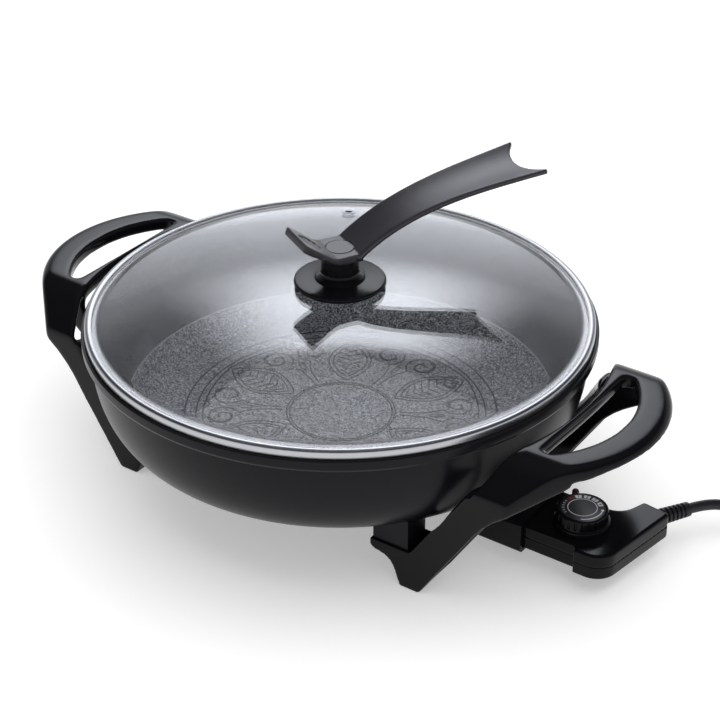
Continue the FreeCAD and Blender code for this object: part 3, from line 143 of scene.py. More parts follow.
def blendColours(tree, share, low, high):
    mix = addNode(tree, "ShaderNodeMix", data_type="RGBA")
    feed(mix, {0: share, 6: low, 7: high})
    return mix.outputs[2]


def easedStep(tree, value, low, high, fromValue=0.0, toValue=1.0, fade="SMOOTHSTEP"):
    step = addNode(tree, "ShaderNodeMapRange", interpolation_type=fade)
    feed(step, {"Value": value, "From Min": low, "From Max": high, "To Min": fromValue, "To Max": toValue})
    return step.outputs[0]


def objectPlace(tree):
    return addNode(tree, "ShaderNodeTexCoord").outputs["Object"]


def noiseOn(tree, place, settings):
    noise = addNode(tree, "ShaderNodeTexNoise")
    feed(noise, {"Vector": place, **settings})
    return noise.outputs[0]


def parted(tree, vector):
    split = addNode(tree, "ShaderNodeSeparateXYZ")
    feed(split, {0: vector})
    return split.outputs


def emptyTree(owner):
    owner.use_nodes = True
    owner.node_tree.nodes.clear()
    return owner.node_tree


def newFinish(name):
    # a material with nothing but its output and one Principled BSDF
    finish = bpy.data.materials.new(name)
    tree = emptyTree(finish)
    output = addNode(tree, "ShaderNodeOutputMaterial")
    shader = addNode(tree, "ShaderNodeBsdfPrincipled")
    feed(output, {0: shader.outputs[0]})
    return finish, tree, shader


def placeGroup(tree, group, values={}):
    placed = addNode(tree, "ShaderNodeGroup", node_tree=group)
    feed(placed, values)
    return placed


def raised(tree, height, strength, distance, under=None):
    # a bump of the given height, over another one where there is one
    bump = addNode(tree, "ShaderNodeBump")
    feed(bump, {"Strength": strength, "Distance": distance, "Height": height})
    if under is not None:
        feed(bump, {"Normal": under})
    return bump.outputs[0]


# shared effects

def startGroup(name, inputs, outputs):
    # a group whose sockets all carry plain numbers
    group = bpy.data.node_groups.new(name, "ShaderNodeTree")
    for label, value in inputs.items():
        socket = group.interface.new_socket(label, in_out="INPUT", socket_type="NodeSocketFloat")
        socket.default_value = value
    for label in outputs:
        group.interface.new_socket(label, in_out="OUTPUT", socket_type="NodeSocketFloat")
    into = addNode(group, "NodeGroupInput")
    outOf = addNode(group, "NodeGroupOutput")
    return group, into, outOf


def mouldGrainGroup():
    # fine texture that a mould leaves, with slow drift in the gloss
    group, into, outOf = startGroup(
        "mouldGrain", {"Grain Size": 900.0, "Drift": 0.06, "Roughness": 0.35}, ("Height", "Roughness"))
    where = objectPlace(group)
    fine = noiseOn(group, where, {"Scale": into.outputs["Grain Size"], "Detail": 3.0, "Roughness": 0.55})
    slow = noiseOn(group, where, {"Scale": 24.0, "Detail": 2.0})
    centred = mathStep(group, "SUBTRACT", slow, 0.5)
    drifted = mathStep(group, "MULTIPLY", centred, into.outputs["Drift"])
    rough = mathStep(group, "ADD", drifted, into.outputs["Roughness"], clamp=True)
    feed(outOf, {"Height": fine, "Roughness": rough})
    return group


def handledEdgesGroup():
    # edges and high spots that hands have polished a little paler
    group, into, outOf = startGroup("handledEdges", {"Amount": 0.4, "Patch Size": 60.0}, ("Mask",))
    shape = addNode(group, "ShaderNodeNewGeometry")
    edges = easedStep(group, shape.outputs["Pointiness"], 0.53, 0.62, fade="LINEAR")
    patches = noiseOn(group, objectPlace(group), {"Scale": into.outputs["Patch Size"], "Detail": 4.0})
    broken = mathStep(group, "MULTIPLY", edges, patches)
    amount = mathStep(group, "MULTIPLY", broken, into.outputs["Amount"], clamp=True)
    feed(outOf, {"Mask": amount})
    return group


def ringPlaceGroup():
    # a surface point's distance from the wok's axis and its height
    group, _, outOf = startGroup("ringPlace", {}, ("Radius", "Height"))
    x, y, z = parted(group, objectPlace(group))
    square = mathStep(group, "ADD", mathStep(group, "MULTIPLY", x, x), mathStep(group, "MULTIPLY", y, y))
    feed(outOf, {"Radius": mathStep(group, "SQRT", square), "Height": z})
    return group


def rolledStreaksGroup():
    # streaks that rolling or polishing leaves round a turned ring
    group, into, outOf = startGroup("rolledStreaks", {"Fineness": 4000.0, "Wander": 6.0}, ("Streak",))
    place = placeGroup(group, ringPlace)
    low = addNode(group, "ShaderNodeVectorMath", operation="SCALE")
    feed(low, {0: objectPlace(group), "Scale": into.outputs["Wander"]})
    x, y, _ = parted(group, low.outputs[0])
    fineRadius = mathStep(group, "MULTIPLY", place.outputs["Radius"], into.outputs["Fineness"])
    fineHeight = mathStep(group, "MULTIPLY", place.outputs["Height"], into.outputs["Fineness"])
    both = mathStep(group, "ADD", fineRadius, fineHeight)
    joined = addNode(group, "ShaderNodeCombineXYZ")
    feed(joined, {0: x, 1: y, 2: both})
    streak = noiseOn(group, joined.outputs[0], {"Scale": 1.0, "Detail": 4.0, "Roughness": 0.6})
    feed(outOf, {"Streak": streak})
    return group


mouldGrain = mouldGrainGroup()
handledEdges = handledEdgesGroup()
ringPlace = ringPlaceGroup()
rolledStreaks = rolledStreaksGroup()
print("shared effects built")


# finishes

# what a moulded or cast skin has where its own look says nothing else
plainSkinLook = {
    "drift": 0.08,
    "wear": 0.5,
    "patch": 90.0,
    "grainStrength": 0.35,
    "specular": 0.5,
}

glossMouldingLook = {
    "colour": (0.0048, 0.0046, 0.0060, 1.0),
    "worn": (0.020, 0.0195, 0.023, 1.0),
    "roughness": 0.14,
    "specular": 0.15,
    "drift": 0.05,
    "grain": 1400.0,
    "grainDepth": 0.00003,
}


def grainOf(tree, look):
    return placeGroup(tree, mouldGrain, {
        "Grain Size": look["grain"], "Drift": look["drift"], "Roughness": look["roughness"]})


def mouldedFinish(name, ownLook):
    look = {**plainSkinLook, **ownLook}
    finish, tree, shader = newFinish(name)
    grain = grainOf(tree, look)
    worn = placeGroup(tree, handledEdges, {"Amount": look["wear"], "Patch Size": look["patch"]})
    tint = blendColours(tree, worn.outputs["Mask"], look["colour"], look["worn"])
    skin = raised(tree, grain.outputs["Height"], look["grainStrength"], look["grainDepth"])
    feed(shader, {"Base Color": tint, "Roughness": grain.outputs["Roughness"], "Normal": skin,
                  "Specular IOR Level": look["specular"]})
    return finish


glossMoulding = mouldedFinish("glossMoulding", glossMouldingLook)

controlMouldingLook = {
    "colour": (0.0042, 0.0041, 0.0050, 1.0),
    "worn": (0.020, 0.0195, 0.022, 1.0),
    "roughness": 0.15,
    "specular": 0.14,
    "drift": 0.05,
    "grain": 1600.0,
    "grainDepth": 0.00004,
}
controlMoulding = mouldedFinish("controlMoulding", controlMouldingLook)

softMouldingLook = {
    "colour": (0.021, 0.020, 0.025, 1.0),
    "worn": (0.056, 0.054, 0.063, 1.0),
    "roughness": 0.34,
    "specular": 0.56,
    "grain": 2200.0,
    "grainDepth": 0.00008,
    "grainStrength": 0.5,
}
softMoulding = mouldedFinish("softMoulding", softMouldingLook)

leadRubberLook = {
    "colour": (0.012, 0.0115, 0.014, 1.0),
    "worn": (0.028, 0.027, 0.030, 1.0),
    "roughness": 0.42,
    "specular": 0.35,
    "grain": 1800.0,
    "grainDepth": 0.00006,
}
leadRubber = mouldedFinish("leadRubber", leadRubberLook)

siliconeLook = {
    "colour": (0.012, 0.012, 0.013, 1.0),
    "worn": (0.025, 0.025, 0.026, 1.0),
    "roughness": 0.6,
    "grain": 1500.0,
    "grainDepth": 0.00004,
}
silicone = mouldedFinish("silicone", siliconeLook)

lensLook = {
    "colour": (0.060, 0.004, 0.005, 1.0),
    "worn": (0.10, 0.010, 0.010, 1.0),
    "roughness": 0.12,
    "grain": 500.0,
    "grainDepth": 0.00002,
}
pilotRed = mouldedFinish("pilotRed", lensLook)


rolledSteelLook = {
    "colour": (0.56, 0.565, 0.58, 1.0),
    "streakColour": (0.40, 0.405, 0.42, 1.0),
    "roughness": 0.22,
    "spread": 0.12,
    "fineness": 5200.0,
    "wander": 9.0,
    "streakStrength": 0.2,
    "streakDepth": 0.00002,
}


def steelFinish(name, ownLook):
    # other metals take from the rolled steel what their own look doesn't say
    look = {**rolledSteelLook, **ownLook}
    finish, tree, shader = newFinish(name)
    streak = placeGroup(tree, rolledStreaks, {
        "Fineness": look["fineness"], "Wander": look["wander"]}).outputs["Streak"]
    tint = blendColours(tree, streak, look["streakColour"], look["colour"])
    spread = mathStep(tree, "MULTIPLY", streak, look["spread"])
    rough = mathStep(tree, "ADD", spread, look["roughness"])
    skin = raised(tree, streak, look["streakStrength"], look["streakDepth"])
    feed(shader, {"Base Color": tint, "Roughness": rough, "Normal": skin, "Metallic": 1.0})
    return finish


rolledSteel = steelFinish("rolledSteel", {})
tubeSteel = steelFinish("tubeSteel", {
    "colour": (0.36, 0.34, 0.32, 1.0), "streakColour": (0.22, 0.20, 0.19, 1.0),
    "roughness": 0.34, "fineness": 700.0, "wander": 60.0})
nickelPlate = steelFinish("nickelPlate", {
    "colour": (0.72, 0.69, 0.63, 1.0), "streakColour": (0.62, 0.59, 0.53, 1.0),
    "roughness": 0.18, "fineness": 900.0, "wander": 200.0})


panOutsideLook = {
    "colour": (0.0060, 0.0058, 0.0078, 1.0),
    "worn": (0.022, 0.0215, 0.026, 1.0),
    "roughness": 0.28,
    "specular": 0.15,
    "drift": 0.05,
    "grain": 1100.0,
    "grainDepth": 0.00003,
}
panOutside = mouldedFinish("panOutside", panOutsideLook)

panInsideLook = {
    # painted highlight: the ridges are coloured far lighter than the dark ground between them
    "paintedRidgeHighlight": (0.150, 0.155, 0.170, 1.0),
    "groundColour": (0.0085, 0.009, 0.0110, 1.0),
    # painted glints: bright flecks scattered through the floor's colour
    "paintedGlintColour": (0.33, 0.335, 0.36, 1.0),
    "wallColour": (0.007, 0.0072, 0.009, 1.0),
    "lineColour": (0.16, 0.165, 0.18, 1.0),
    "floorEdge": 0.1453,
    "edgeLine": 0.00045,
    "wrinkleScale": 430.0,
    "wrinkleTwist": 2.2,
    "ridgeSpan": (0.42, 0.64),
    "ridgeDepth": 0.00040,
    "ridgeStrength": 0.7,
    "ridgeRoughness": 0.34,
    "paintedGlintScale": 760.0,
    "paintedGlintSpan": (0.63, 0.69),
    "grain": 1100.0,
    "grainDepth": 0.00003,
    "grainStrength": 0.3,
    "drift": 0.06,
    "roughness": 0.24,
    "floorRoughness": 0.12,
    "specular": 0.18,
}


def panInsideFinish(look):
    # stone-like floor whose ridges are coloured lighter than the ground as a painted highlight and whose
    # bright flecks are painted glints, with a fine turned line round it and a plain glossy wall
    finish, tree, shader = newFinish("panInside")
    place = placeGroup(tree, ringPlace)
    where = objectPlace(tree)
    onFloor = mathStep(tree, "LESS_THAN", place.outputs["Radius"], look["floorEdge"])
    turnedLine = mathStep(tree, "COMPARE", place.outputs["Radius"], look["floorEdge"])
    feed(turnedLine.node, {2: look["edgeLine"]})
    wrinkles = noiseOn(tree, where, {
        "Scale": look["wrinkleScale"], "Detail": 1.6, "Distortion": look["wrinkleTwist"]})
    ridgesAndPaintedHighlight = easedStep(tree, wrinkles, *look["ridgeSpan"])
    paintedGlintNoise = noiseOn(tree, where, {"Scale": look["paintedGlintScale"], "Detail": 1.0})
    paintedGlints = easedStep(tree, paintedGlintNoise, *look["paintedGlintSpan"], fade="LINEAR")
    # the ridges' lighter colour is a painted highlight; the same ridges also give the real bump and coat
    floorWithPaintedRidgeHighlight = blendColours(tree, ridgesAndPaintedHighlight, look["groundColour"], look["paintedRidgeHighlight"])
    # painted glints: bright flecks laid over the floor's colour
    floorColour = blendColours(tree, paintedGlints, floorWithPaintedRidgeHighlight, look["paintedGlintColour"])
    colour = blendColours(tree, onFloor, look["wallColour"], floorColour)
    colour = blendColours(tree, turnedLine, colour, look["lineColour"])
    grain = grainOf(tree, look)
    floorRough = mathStep(tree, "MULTIPLY", onFloor, look["floorRoughness"])
    rough = mathStep(tree, "ADD", grain.outputs["Roughness"], floorRough)
    relief = mathStep(tree, "MULTIPLY", ridgesAndPaintedHighlight, onFloor)
    skin = raised(tree, grain.outputs["Height"], look["grainStrength"], look["grainDepth"])
    skin = raised(tree, relief, look["ridgeStrength"], look["ridgeDepth"], under=skin)
    # the ridges of the floor shine most
    feed(shader, {"Base Color": colour, "Roughness": rough, "Normal": skin, "Coat Weight": relief,
                  "Coat Roughness": look["ridgeRoughness"], "Specular IOR Level": look["specular"]})
    return finish


panInside = panInsideFinish(panInsideLook)


glassLook = {
    "tint": (0.955, 0.965, 0.98, 1.0),
    "clear": (0.93, 0.94, 0.95, 1.0),
    "roughness": 0.0,
    "ior": 1.5,
    "smearScale": 30.0,
    "smearStrength": 0.02,
    "smearDepth": 0.0002,
}


def glassFinish(look):
    # clear glass with faint smears, which lets light straight through to what lies below
    finish, tree, shader = newFinish("temperedGlass")
    smears = noiseOn(tree, objectPlace(tree), {"Scale": look["smearScale"], "Detail": 2.0})
    skin = raised(tree, smears, look["smearStrength"], look["smearDepth"])
    feed(shader, {"Base Color": look["tint"], "Roughness": look["roughness"], "IOR": look["ior"],
                  "Transmission Weight": 1.0, "Normal": skin})
    rays = addNode(tree, "ShaderNodeLightPath")
    clear = addNode(tree, "ShaderNodeBsdfTransparent")
    feed(clear, {0: look["clear"]})
    shadow, matt = rays.outputs["Is Shadow Ray"], rays.outputs["Is Diffuse Ray"]
    lighting = mathStep(tree, "MAXIMUM", shadow, matt)
    output = shader.outputs[0].links[0].to_node
    mix = addNode(tree, "ShaderNodeMixShader")
    feed(mix, {0: lighting, 1: shader.outputs[0], 2: clear.outputs[0]})
    feed(output, {0: mix.outputs[0]})
    return finish


temperedGlass = glassFinish(glassLook)

printedDiscLook = {
    "colour": (0.0022, 0.0022, 0.0028, 1.0),
    "worn": (0.010, 0.010, 0.011, 1.0),
    "roughness": 0.3,
    "grain": 900.0,
    "grainDepth": 0.00001,
}
printedDisc = mouldedFinish("printedDisc", printedDiscLook)
print("finishes mixed")


# what each part of the model is finished with
finishedParts = (
    (panOutside, ("pan", "pan_castings")),
    (tubeSteel, ("heating_element",)),
    (glossMoulding, ("socket_shroud", "right_handle_legs", "left_handle_legs")),
    (temperedGlass, ("lid_glass",)),
    (rolledSteel, ("lid_band", "vent_eyelet", "lid_washer", "lid_screw")),
    (silicone, ("lid_gasket",)),
    (softMoulding, ("lid_handle", "handle_cap")),
    (controlMoulding, ("knob_base", "control_lower_housing", "control_upper_housing", "temperature_dial")),
    (pilotRed, ("pilot_lens",)),
    (leadRubber, ("strain_relief", "power_cord", "cord_coil", "cord_tail", "plug_body")),
    (nickelPlate, ("terminal_pins", "socket_screws", "handle_screws", "housing_screws", "thermostat",
                   "sensor_rod", "contact_sleeves", "plug_pins", "plug_earth_clips", "dial_shaft")),
    (printedDisc, ("dial_scale",)),
)
seamWidth = 0.00002
creaseAngle = 30


def addModifier(piece, label, kind, **settings):
    made = piece.modifiers.new(label, kind)
    for key, value in settings.items():
        setattr(made, key, value)


def keepEdges(piece, degrees):
    addModifier(piece, "keepEdges", "EDGE_SPLIT", split_angle=math.radians(degrees))


def dressPart(part, finish):
    part.data.materials.clear()
    part.data.materials.append(finish)
    for face in part.data.polygons:
        face.use_smooth = True
    addModifier(part, "joinSkin", "WELD", merge_threshold=seamWidth)
    keepEdges(part, creaseAngle)


for finish, partNames in finishedParts:
    for partName in partNames:
        dressPart(wokParts[partName], finish)
print("parts dressed")


# pieces made here

def addPiece(name, mesh, finish, body, smooth=True):
    for face in mesh.polygons:
        face.use_smooth = smooth
    mesh.materials.append(finish)
    piece = addObject(name, mesh)
    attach(piece, body)
    return piece


def meshFrom(shape, name):
    mesh = bpy.data.meshes.new(name)
    shape.to_mesh(mesh)
    shape.free()
    return mesh


def settledMesh(draft):
    # the draft's mesh with its modifiers applied; the draft itself is thrown away
    mesh = bpy.data.meshes.new_from_object(draft.evaluated_get(bpy.context.evaluated_depsgraph_get()))
    bpy.data.objects.remove(draft)
    return mesh


# lead

leadRoute = {
    "start": [(0.2350, 0.06485, 0.0210), (0.24285, 0.07844, 0.0210), (0.2575, 0.0890, 0.0178),
              (0.2750, 0.0922, 0.0106), (0.2920, 0.0940, 0.0052), (0.3060, 0.0965, 0.0040)],
    "coilCentre": (0.2910, 0.1360),
    "coilRadii": (0.0428, 0.0356, 0.0356, 0.0428),
    "coilHeights": (0.0036, 0.0036, 0.0108, 0.0108),
    "coilFrom": -54.0,
    "coilTo": 1098.0,
    "pointsPerTurn": 14,
    "layerChange": 0.80,
    "finish": [(0.3225, 0.1590, 0.0112), (0.3180, 0.1690, 0.0135), (0.3111, 0.1811, 0.01865),
               (0.3046, 0.1924, 0.01865)],
    "diameter": 0.0071,
    "length": 0.93,
    "roundSteps": 5,
    "lineSteps": 8,
}


def coilPoint(route, turn):
    # a point of the winding, easing from one layer to the next over the last fifth of a turn
    progress = (turn - route["coilFrom"]) / 360.0
    layer = int(progress)
    share = min(max((progress - layer - route["layerChange"]) / (1 - route["layerChange"]), 0.0), 1.0)
    ease = share * share * (3 - 2 * share)
    last = len(route["coilRadii"]) - 1
    here, ahead = min(layer, last), min(layer + 1, last)
    wide = 1 / math.cos(math.pi / route["pointsPerTurn"])
    radius = (route["coilRadii"][here] * (1 - ease) + route["coilRadii"][ahead] * ease) * wide
    height = route["coilHeights"][here] * (1 - ease) + route["coilHeights"][ahead] * ease
    angle = math.radians(turn)
    middle = route["coilCentre"]
    return (middle[0] + radius * math.cos(angle), middle[1] + radius * math.sin(angle), height)


def leadPoints(route):
    points = list(route["start"])
    step = 360.0 / route["pointsPerTurn"]
    count = int((route["coilTo"] - route["coilFrom"]) / step)
    points += [coilPoint(route, route["coilFrom"] + step * n) for n in range(count + 1)]
    return points + list(route["finish"])


coilTie = {
    "turn": 200.0,
    "wide": 0.0060,
    "thick": 0.0006,
    "halfAcross": 0.0075,
    "bottom": 0.00002,
    "top": 0.0152,
    "corner": 0.0040,
    "cornerSteps": 6,
}


def makeTie(tie, route):
    # a soft strap round the coil's bundle
    middle = (tie["bottom"] + tie["top"]) / 2
    halfUp = (tie["top"] - tie["bottom"]) / 2
    outer, inner = [], []
    for corner, (signX, signZ) in enumerate(((1, 1), (-1, 1), (-1, -1), (1, -1))):
        for k in range(tie["cornerSteps"] + 1):
            angle = math.radians(90 * (corner + k / tie["cornerSteps"]))
            for loop, radius in ((outer, tie["corner"]), (inner, tie["corner"] - tie["thick"])):
                loop.append((signX * (tie["halfAcross"] - tie["corner"]) + radius * math.cos(angle),
                             middle + signZ * (halfUp - tie["corner"]) + radius * math.sin(angle)))
    shape = bmesh.new()
    centre = sum(route["coilRadii"]) / len(route["coilRadii"])
    turn = math.radians(tie["turn"])
    rows = []
    for side in (-0.5, 0.5):
        for loop in (outer, inner):
            row = []
            for away, height in loop:
                along, across = centre + away, side * tie["wide"]
                row.append(shape.verts.new((
                    route["coilCentre"][0] + along * math.cos(turn) - across * math.sin(turn),
                    route["coilCentre"][1] + along * math.sin(turn) + across * math.cos(turn), height)))
            rows.append(row)
    count = len(outer)
    for n in range(count):
        m = (n + 1) % count
        for first, second in ((0, 2), (2, 3), (3, 1), (1, 0)):
            shape.faces.new((rows[first][n], rows[first][m], rows[second][m], rows[second][n]))
    bmesh.ops.recalc_face_normals(shape, faces=shape.faces)
    return addPiece("coilTie", meshFrom(shape, "coilTie"), silicone, "control", smooth=False)


def makeLead(route):
    curve = bpy.data.curves.new("mainsLead", "CURVE")
    curve.dimensions = "3D"
    curve.bevel_depth = route["diameter"] / 2
    curve.bevel_resolution = route["roundSteps"]
    curve.resolution_u = route["lineSteps"]
    curve.use_fill_caps = True
    line = curve.splines.new("NURBS")
    points = leadPoints(route)
    line.points.add(len(points) - 1)
    for point, place in zip(line.points, points):
        point.co = (*place, 1.0)
    line.order_u = 3
    line.use_endpoint_u = True
    lead = addObject("mainsLead", curve)
    curve.materials.append(leadRubber)
    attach(lead, "control")
    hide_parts("power_cord", "cord_coil", "cord_tail")
    makeTie(coilTie, route)


makeLead(leadRoute)
print("lead laid")


# softly rounded mouldings

handleSkin = {
    "voxel": 0.0009,
    "passes": 10,
    "gripPasses": 45,
    "gripFrom": 0.050,
    "gripFull": 0.075,
    "keep": 0.25,
}
upperHousingSkin = {"voxel": 0.0006, "passes": 7, "keep": 0.4}
lowerHousingSkin = {"voxel": 0.0006, "passes": 5, "keep": 0.4}
lidHandleSkin = {"voxel": 0.0005, "passes": 5, "keep": 0.25}


def softenGrip(mesh, skin):
    # more rounding from the legs up towards the grip
    draft = addObject("gripDraft", mesh)
    grip = draft.vertex_groups.new(name="grip")
    for vertex in mesh.vertices:
        share = (vertex.co.z - skin["gripFrom"]) / (skin["gripFull"] - skin["gripFrom"])
        if share > 0:
            grip.add([vertex.index], min(share, 1.0), "REPLACE")
    addModifier(draft, "softenGrip", "SMOOTH", factor=0.5, iterations=skin["gripPasses"],
                vertex_group=grip.name)
    return settledMesh(draft)


def fewerFaces(mesh, share):
    draft = addObject("fewerFacesDraft", mesh)
    addModifier(draft, "fewerFaces", "DECIMATE", ratio=share)
    return settledMesh(draft)


def roundedCopy(partName, newName, skin, finish):
    # the part's own shape, remeshed and smoothed so that its edges have the small radius of a mould
    part = wokParts[partName]
    draft = addObject(newName + "Draft", part.data.copy())
    addModifier(draft, "joinSkin", "WELD", merge_threshold=seamWidth)
    addModifier(draft, "fineGrid", "REMESH", mode="VOXEL", voxel_size=skin["voxel"])
    addModifier(draft, "soften", "SMOOTH", factor=0.5, iterations=skin["passes"])
    mesh = settledMesh(draft)
    if "gripPasses" in skin:
        mesh = softenGrip(mesh, skin)
    mesh = fewerFaces(mesh, skin["keep"])
    mesh.materials.clear()
    piece = addPiece(newName, mesh, finish, body_of(part)[0])
    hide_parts(partName)
    print(newName, "has", len(mesh.polygons), "faces")


roundedCopy("right_handle_legs", "rightHandle", handleSkin, glossMoulding)
roundedCopy("left_handle_legs", "leftHandle", handleSkin, glossMoulding)
roundedCopy("control_upper_housing", "controlUpper", upperHousingSkin, controlMoulding)
roundedCopy("control_lower_housing", "controlLower", lowerHousingSkin, controlMoulding)
roundedCopy("lid_handle", "lidHandle", lidHandleSkin, softMoulding)
print("mouldings softened")


# lid glass

domeShape = {
    "half": 0.161,
    "rise": 0.0215,
    "seat": 0.1238,
    "thickness": 0.004,
    "flat": 0.002,
    "edge": 0.1692,
    "edgeRound": 0.0015,
    "bore": 0.004,
    "rings": 60,
    "spokes": 192,
    "ventAt": 0.130,
    "ventTurn": 123.0,
    "ventTilt": 12.2,
    "ventHole": 0.0034,
    "drillLength": 0.03,
    "drillSides": 48,
    "creaseAngle": 40,
}


def domeTop(shape, radius):
    # height of the dome's outer skin above the band's seat
    if radius >= shape["half"]:
        return 0.0
    ball = (shape["half"] ** 2 + shape["rise"] ** 2) / (2 * shape["rise"])
    return math.sqrt(ball ** 2 - radius ** 2) - (ball - shape["rise"])


def lathe(name, profile, spokes, closed=True):
    # turns a profile of (radius, height) pairs about the wok's axis, a closed one with its faces outward
    mesh = bpy.data.meshes.new(name)
    swept = sum(r0 * h1 - r1 * h0 for (r0, h0), (r1, h1) in zip(profile, profile[1:] + profile[:1]))
    if closed and swept > 0:
        profile = profile[::-1]
    points, faces = [], []
    for n in range(spokes):
        angle = 2 * math.pi * n / spokes
        for radius, height in profile:
            points.append((radius * math.cos(angle), radius * math.sin(angle), height))
    across = len(profile)
    for n in range(spokes):
        after = (n + 1) % spokes
        for k in range(across if closed else across - 1):
            nextK = (k + 1) % across
            faces.append((n * across + k, n * across + nextK, after * across + nextK, after * across + k))
    mesh.from_pydata(points, [], faces)
    mesh.validate()
    return mesh


def drilled(mesh, shape):
    # the same mesh with the vent's hole through it, square to the dome
    drill = bmesh.new()
    bmesh.ops.create_cone(drill, cap_ends=True, segments=shape["drillSides"], radius1=shape["ventHole"],
                          radius2=shape["ventHole"], depth=shape["drillLength"])
    drillMesh = meshFrom(drill, "ventDrill")
    height = shape["seat"] + domeTop(shape, shape["ventAt"])
    drillMesh.transform(Matrix.Rotation(math.radians(shape["ventTurn"]), 4, "Z")
                        @ Matrix.Translation((shape["ventAt"], 0, height))
                        @ Matrix.Rotation(math.radians(shape["ventTilt"]), 4, "Y"))
    blank = addObject("domeDraft", mesh)
    cutter = addObject("drillDraft", drillMesh)
    addModifier(blank, "ventHole", "BOOLEAN", object=cutter, solver="EXACT")
    result = settledMesh(blank)
    bpy.data.objects.remove(cutter)
    result.materials.clear()
    return result


def makeDome(shape):
    reach = shape["half"] - shape["bore"]
    radii = [shape["bore"] + reach * n / shape["rings"] for n in range(shape["rings"] + 1)]
    radii += [shape["half"] + shape["flat"], shape["edge"] - shape["edgeRound"]]
    top = [(radius, shape["seat"] + domeTop(shape, radius)) for radius in radii]
    edge = [(shape["edge"], shape["seat"] - shape["edgeRound"]),
            (shape["edge"], shape["seat"] - shape["thickness"] + shape["edgeRound"])]
    under = [(radius, height - shape["thickness"]) for radius, height in reversed(top)]
    blank = lathe("glassBlank", top + edge + under, shape["spokes"])
    dome = addPiece("glassDome", drilled(blank, shape), temperedGlass, "lid")
    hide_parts("lid_glass")
    keepEdges(dome, shape["creaseAngle"])


makeDome(domeShape)

bandShape = {
    "spokes": 256,
    "arcSteps": 5,
    "creaseAngle": 35,
    # radius, height and rounding of each corner of the folded channel
    "corners": ((0.1650, 0.1238, 0), (0.1692, 0.1238, 0), (0.1692, 0.1198, 0), (0.1650, 0.1198, 0),
                (0.1650, 0.1190, 0.0003), (0.1675, 0.1168, 0.0008), (0.1700, 0.1168, 0.0010),
                (0.1700, 0.1244, 0.0024), (0.1668, 0.1246, 0.0012), (0.1650, 0.1241, 0.0003)),
}


def softCorners(corners, steps):
    # replaces each corner that has a rounding by a short arc
    outline = []
    for n, (radius, height, rounding) in enumerate(corners):
        here = Vector((radius, height))
        if not rounding:
            outline.append((radius, height))
            continue
        back = (Vector(corners[n - 1][:2]) - here).normalized()
        ahead = (Vector(corners[(n + 1) % len(corners)][:2]) - here).normalized()
        reach = rounding / math.tan(back.angle(ahead) / 2)
        first, last = here + back * reach, here + ahead * reach
        for k in range(steps + 1):
            t = k / steps
            spot = first * (1 - t) ** 2 + here * 2 * t * (1 - t) + last * t ** 2
            outline.append((spot.x, spot.y))
    return outline


def makeBand(shape):
    outline = softCorners(shape["corners"], shape["arcSteps"])
    mesh = lathe("steelBand", outline, shape["spokes"])
    band = addPiece("steelBand", mesh, rolledSteel, "lid")
    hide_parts("lid_band")
    keepEdges(band, shape["creaseAngle"])


makeBand(bandShape)
print("lid glazed")


# pan

panShape = {
    "innerRadius": 0.1638,
    "floorZ": 0.0440,
    "outerRadius": 0.1672,
    "baseZ": 0.0388,
    "rimZ": 0.1120,
    "kneePower": 7.1,
    "risePower": 2.5,
    "wallTop": 0.1105,
    "steps": 56,
    "stepPower": 1.5,
    "rimSteps": 4,
    "spokes": 256,
    "weld": 0.0000005,
    "creaseAngle": 35,
    # rim outline from the inner wall over the lid's seat to the outer wall: radius, height, rounding
    "rim": ((0.1638, 0.1165, 0), (0.1704, 0.1165, 0), (0.1704, 0.1185, 0.0004), (0.1724, 0.1185, 0.0006),
            (0.1724, 0.1126, 0.0003), (0.1716, 0.1110, 0.0002), (0.1672, 0.1110, 0)),
}


def bowlCurve(shape, radius, low):
    # the bowl's wall as points from the axis out to the rim's height
    line = []
    for n in range(shape["steps"] + 1):
        phase = math.pi / 2 * (n / shape["steps"]) ** shape["stepPower"]
        away = radius * math.sin(phase) ** (2 / shape["kneePower"])
        drop = (shape["rimZ"] - low) * max(math.cos(phase), 0.0) ** (2 / shape["risePower"])
        line.append((away, shape["rimZ"] - drop))
    return line


def floorHeight(radius, shape=panShape):
    # height of the pan's inner face at a distance from the axis
    share = min(radius / shape["innerRadius"], 1.0) ** shape["kneePower"]
    return shape["rimZ"] - (shape["rimZ"] - shape["floorZ"]) * (1 - share) ** (1 / shape["risePower"])


def makePan(shape):
    inner = bowlCurve(shape, shape["innerRadius"], shape["floorZ"])
    outer = bowlCurve(shape, shape["outerRadius"], shape["baseZ"])
    outer = [spot for spot in outer if spot[1] < shape["wallTop"]]
    outline = inner + softCorners(shape["rim"], shape["rimSteps"]) + outer[::-1]
    mesh = lathe("panBody", outline, shape["spokes"], closed=False)
    perTurn = len(outline) - 1
    for n, face in enumerate(mesh.polygons):
        face.material_index = 1 if n % perTurn < len(inner) else 0
    clean = bmesh.new()
    clean.from_mesh(mesh)
    bmesh.ops.remove_doubles(clean, verts=clean.verts, dist=shape["weld"])
    clean.to_mesh(mesh)
    clean.free()
    pan = addPiece("panBody", mesh, panOutside, "base")
    mesh.materials.append(panInside)
    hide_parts("pan")
    keepEdges(pan, shape["creaseAngle"])


makePan(panShape)
print("pan turned")


# raised ornament on the pan's floor

